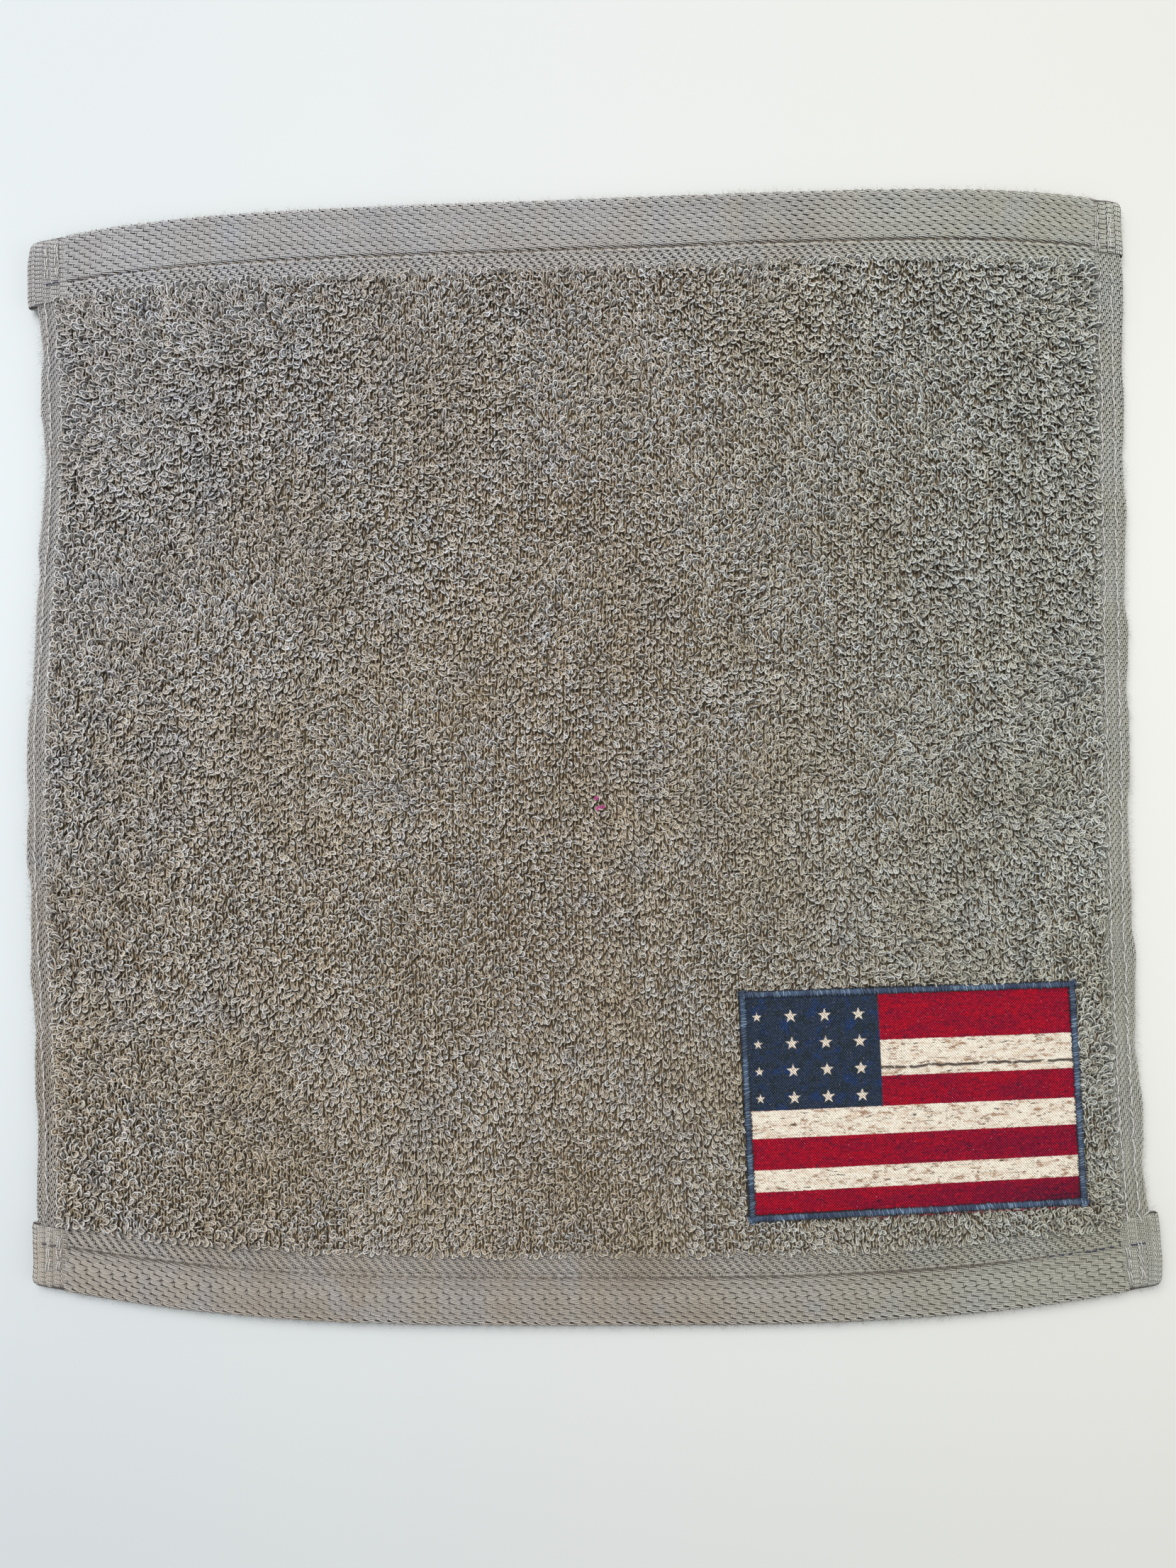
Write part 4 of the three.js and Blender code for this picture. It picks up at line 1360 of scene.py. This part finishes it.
class TOWEL_OT_patch(bpy.types.Operator):
    """Printed patch cloth, puffed a little between its sewn edges, with its backing"""
    bl_idname = "towel.patch"
    bl_label = "Patch"

    def execute(self, context):
        _, colours = settings(context)
        half_width, half_height = PATCH_WIDTH / 2 - BORDER_WIDTH, PATCH_HEIGHT / 2 - BORDER_WIDTH
        across, up = np.meshgrid(
            np.linspace(-half_width - 0.8, half_width + 0.8, 170),
            np.linspace(-half_height - 0.8, half_height + 0.8, 112),
        )
        parts = MeshParts()
        parts.sheet(patch_point(across, up, patch_height(across, up)), 0.35)

        def print_place(points):
            a, b = patch_local(points[:, 0], points[:, 1])
            return join(a / (2 * half_width) + 0.5, b / (2 * half_height) + 0.5)

        piece = parts.build("patch_print", print_material(colours), ("PrintMap", print_place))
        keep(piece, "patch_print", "patch_print_cloth")
        backing = Nodes("patch backing cloth", (0.7, 0.66, 0.58))
        weave = backing.noise(backing.place(), 2500.0, 2.0)
        shade = backing.mix(rgb(196, 188, 172), rgb(222, 216, 202), weave)
        parts = MeshParts()
        low = patch_height(across, up) - 0.45
        parts.sheet(patch_point(across * 0.99, up * 0.99, low)[::4, ::4], 0.3)
        cloth = parts.build("patch_backing_cloth", backing.cloth(shade, backing.bump(weave, 0.5, 0.0001)))
        keep(cloth, "patch_backing", "patch_backing")
        return {"FINISHED"}


class TOWEL_OT_border(bpy.types.Operator):
    """Satin stitches round the patch, one thread after another over a raised core"""
    bl_idname = "towel.border"
    bl_label = "Patch border"

    def execute(self, context):
        sizes, colours = settings(context)
        rng = np.random.default_rng(SEEDS["border"])
        material = border_material(colours)
        middle_x = (PATCH_WIDTH - BORDER_WIDTH) / 2
        middle_y = (PATCH_HEIGHT - BORDER_WIDTH) / 2
        sides = {
            "bottom": ((-middle_x, -middle_y), (middle_x, -middle_y)),
            "top": ((middle_x, middle_y), (-middle_x, middle_y)),
            "left": ((-middle_x, middle_y), (-middle_x, -middle_y)),
            "right": ((middle_x, -middle_y), (middle_x, middle_y)),
        }
        for name, (start, end) in sides.items():
            parts = MeshParts()
            self.core(parts, start, end)
            self.satin(parts, start, end, sizes.satin_pitch / MM, rng)
            keep(parts.build(f"border_{name}", material), "patch_thread", f"patch_border_{name}")
        return {"FINISHED"}

    @staticmethod
    def frame_of(start, end):
        start, end = np.array(start), np.array(end)
        length = np.linalg.norm(end - start)
        ahead = (end - start) / length
        outward = np.array([ahead[1], -ahead[0]])
        return start, ahead, outward, length

    def core(self, parts, start, end):
        start, ahead, outward, length = self.frame_of(start, end)
        along = np.linspace(-0.7, length + 0.7, 60)[:, None]
        turn = np.linspace(0, math.pi, 9)
        side = np.concatenate([np.cos(turn), [-1.0, 1.0]])[None, :] * (BORDER_WIDTH / 2 - 0.2)
        rise = np.concatenate([np.sin(turn) * 0.55, [-0.7, -0.7]])[None, :]
        spot = start + along[..., None] * ahead + side[..., None] * outward
        sections = patch_point(spot[..., 0], spot[..., 1], PRINT_TOP - 0.15 + rise)
        parts.sweep(sections)

    def satin(self, parts, start, end, pitch, rng):
        start, ahead, outward, length = self.frame_of(start, end)
        n = int((length + 2.4) / pitch)
        along = np.linspace(-1.2, length + 1.2, n) + rng.normal(0, 0.09, n)
        t = np.linspace(-1, 1, 8)[None, :]
        half = (BORDER_WIDTH / 2 - 0.12) * rng.uniform(0.84, 1.2, (n, 1))
        side = t * half + rng.normal(0, 0.1, (n, 1))
        slant = (0.26 + rng.normal(0, 0.17, (n, 1))) * t
        rise = np.sqrt(np.clip(1 - (t * 0.98) ** 2, 0, 1)) * (0.68 + rng.normal(0, 0.09, (n, 1))) - 0.12
        spot = start + (along[:, None] + slant)[..., None] * ahead + side[..., None] * outward
        path = patch_point(spot[..., 0], spot[..., 1], PRINT_TOP - 0.05 + rise)
        heading = np.append(ahead, 0.0)
        parts.tubes(path, 0.2 * rng.uniform(0.8, 1.15, (n, 1)), heading[None, None, :], 4)


class TOWEL_OT_loose_fibres(bpy.types.Operator):
    """Fine fibres at the edges, red frays under the patch and two specks of lint"""
    bl_idname = "towel.loose_fibres"
    bl_label = "Loose fibres"

    def execute(self, context):
        sizes, colours = settings(context)
        rng = np.random.default_rng(SEEDS["fibres"])
        parts = MeshParts()
        self.edge_fuzz(parts, sizes.fibre_count, rng)
        fuzz = thread_material("edge fuzz fibre", rgb(206, 202, 194), rgb(176, 172, 164), 0.9)
        keep(parts.build("edge_fuzz", fuzz), "pile")
        parts = MeshParts()
        self.frays(parts, rng)
        red = thread_material("frayed red fibre", rgb(200, 52, 96), rgb(150, 24, 60), 0.9)
        keep(parts.build("patch_frays", red), "patch_print")
        parts = MeshParts()
        for x, y, n in ((2.3, -14.2, 26), (2.9, -17.2, 34), (4.3, -16.9, 18)):
            self.tuft(parts, x, y, n, rng)
        keep(parts.build("lint_specks", lint_material(colours)), "pile")
        return {"FINISHED"}

    @staticmethod
    def edge_fuzz(parts, count, rng):
        edge = rng.integers(0, 4, count)
        s = rng.random(count)
        roots, ends = np.empty((count, 2)), np.empty((count, 2))
        reach = rng.uniform(0.5, 1.9, count)
        for number, name in enumerate(EDGES):
            mine = edge == number
            x, y = EDGES[name](s[mine], 0.3)
            roots[mine] = join(x, y)
            x, y = EDGES[name](s[mine] + rng.normal(0, 0.003, mine.sum()), -reach[mine])
            ends[mine] = join(x, y)
        t = np.linspace(0, 1, 5)[None, :, None]
        flat = roots[:, None] + (ends - roots)[:, None] * t
        curl = rng.normal(0, 0.25, (count, 1, 2)) * np.sin(math.pi * t)
        low = rng.uniform(0.6, 2.4, (count, 1))
        rise = low + rng.normal(0, 0.35, (count, 1)) * t[..., 0]
        path = np.concatenate([flat + curl, np.maximum(rise, 0.15)[..., None]], -1)
        parts.tubes(path, 0.03, UPWARD, 3)

    @staticmethod
    def frays(parts, rng):
        n = 130
        across = rng.uniform(-0.3, 1.0, n) * PATCH_WIDTH / 2
        t = np.linspace(0, 1, 5)[None, :]
        side = -PATCH_HEIGHT / 2 - 0.1 - rng.uniform(0.2, 0.75, (n, 1)) * t
        slant = across[:, None] + rng.normal(0, 0.5, (n, 1)) * t
        height = PRINT_TOP - 0.1 + rng.uniform(-0.2, 0.3, (n, 1)) * np.sin(math.pi * t)
        path = patch_point(slant, side, height)
        parts.tubes(path, 0.07, UPWARD, 3)

    @staticmethod
    def tuft(parts, x, y, n, rng):
        t = np.linspace(0, 1, 7)[None, :]
        turn = rng.uniform(0, 2 * math.pi, (n, 1)) + t * rng.uniform(-3, 3, (n, 1))
        radius = rng.uniform(0.15, 0.75, (n, 1)) * (0.4 + 0.6 * t)
        z = 4.55 + rng.uniform(-0.25, 0.35, (n, 1)) + 0 * t
        path = join(x + radius * np.cos(turn), y + radius * np.sin(turn), z)
        parts.tubes(path, 0.085, UPWARD, 3)


class TOWEL_OT_declare(bpy.types.Operator):
    """Takes no step; it leaves the scene as it is"""
    bl_idname = "towel.declare"
    bl_label = "Declare the cloth"

    def execute(self, context):
        return {"FINISHED"}


# The camera: its lens in millimetres, its lean from straight down, its distance in metres, and the
# point of the cloth that it aims at.
LENS = 29.25
CAMERA_TILT = math.radians(2.0)
CAMERA_DISTANCE = 0.377
AIM = (-0.1, -10.0)


class TOWEL_OT_stage(bpy.types.Operator):
    """Camera over the cloth, soft studio light and a plain pale floor"""
    bl_idname = "towel.stage"
    bl_label = "Stage"

    def execute(self, context):
        scene = context.scene
        half = 2.5
        mesh = bpy.data.meshes.new("table_top")
        mesh.from_pydata(
            [(-half, -half, 0), (half, -half, 0), (half, half, 0), (-half, half, 0)], [], [(0, 1, 2, 3)]
        )
        mesh.materials.append(floor_material())
        floor = bpy.data.objects.new("table_top", mesh)
        floor.location.z = -0.0002
        scene.collection.objects.link(floor)
        self.camera(scene)
        self.light(scene, "overhead softbox", (-0.4, 0.8, 1.35), 1.2, 25.0, (1.0, 0.985, 0.96))
        self.light(scene, "side softbox", (1.3, -0.5, 0.9), 1.0, 4.0, (1.0, 0.96, 0.9))
        world = bpy.data.worlds.new("studio")
        world.use_nodes = True
        background = world.node_tree.nodes["Background"]
        background.inputs["Color"].default_value = (0.94, 0.97, 1.0, 1.0)
        background.inputs["Strength"].default_value = 0.5
        scene.world = world
        scene.view_settings.view_transform = "Standard"
        return {"FINISHED"}

    @staticmethod
    def camera(scene):
        lens = bpy.data.cameras.new("camera")
        lens.sensor_width = 36.0
        lens.lens = LENS
        lens.clip_start = 0.01
        camera = bpy.data.objects.new("camera", lens)
        x, y = ((AIM[axis] + SHIFT[axis]) * MM for axis in (0, 1))
        back, up = CAMERA_DISTANCE * math.sin(CAMERA_TILT), CAMERA_DISTANCE * math.cos(CAMERA_TILT)
        camera.location = (x, y - back, 0.0025 + up)
        camera.rotation_euler = (CAMERA_TILT, 0.0, 0.0)
        scene.collection.objects.link(camera)
        scene.camera = camera

    @staticmethod
    def light(scene, name, place, size, power, colour):
        lamp = bpy.data.lights.new(name, "AREA")
        lamp.size = size
        lamp.energy = power
        lamp.color = colour
        holder = bpy.data.objects.new(name, lamp)
        holder.location = place
        length = math.dist(place, (0, 0, 0))
        holder.rotation_euler = (math.acos(place[2] / length), 0, math.atan2(place[0], -place[1]))
        scene.collection.objects.link(holder)


class TOWEL_PT_panel(bpy.types.Panel):
    """Lists the towel's pieces, sizes and colours"""
    bl_idname = "TOWEL_PT_panel"
    bl_label = "Terry towel"
    bl_space_type = "VIEW_3D"
    bl_region_type = "UI"
    bl_category = "Towel"

    def draw(self, context):
        for operator in OPERATORS:
            self.layout.operator(operator.bl_idname)
        for group in settings(context):
            for name in group.bl_rna.properties.keys():
                if name not in {"rna_type", "name"}:
                    self.layout.prop(group, name)


OPERATORS = (
    TOWEL_OT_stage,
    TOWEL_OT_ground,
    TOWEL_OT_front_legs,
    TOWEL_OT_front_pile,
    TOWEL_OT_back_pile,
    TOWEL_OT_hem_bands,
    TOWEL_OT_side_hems,
    TOWEL_OT_stitches,
    TOWEL_OT_patch,
    TOWEL_OT_border,
    TOWEL_OT_loose_fibres,
    TOWEL_OT_declare,
)
CLASSES = (TowelSizes, TowelColours, *OPERATORS, TOWEL_PT_panel)


def register():
    for cls in CLASSES:
        bpy.utils.register_class(cls)
    bpy.types.Scene.towel_sizes = bpy.props.PointerProperty(type=TowelSizes)
    bpy.types.Scene.towel_colours = bpy.props.PointerProperty(type=TowelColours)


def unregister():
    del bpy.types.Scene.towel_colours
    del bpy.types.Scene.towel_sizes
    for cls in reversed(CLASSES):
        bpy.utils.unregister_class(cls)


def main():
    register()
    for operator in OPERATORS:
        group, name = operator.bl_idname.split(".")
        getattr(getattr(bpy.ops, group), name)()
    bpy.context.view_layer.update()


if __name__ == "__main__":
    main()
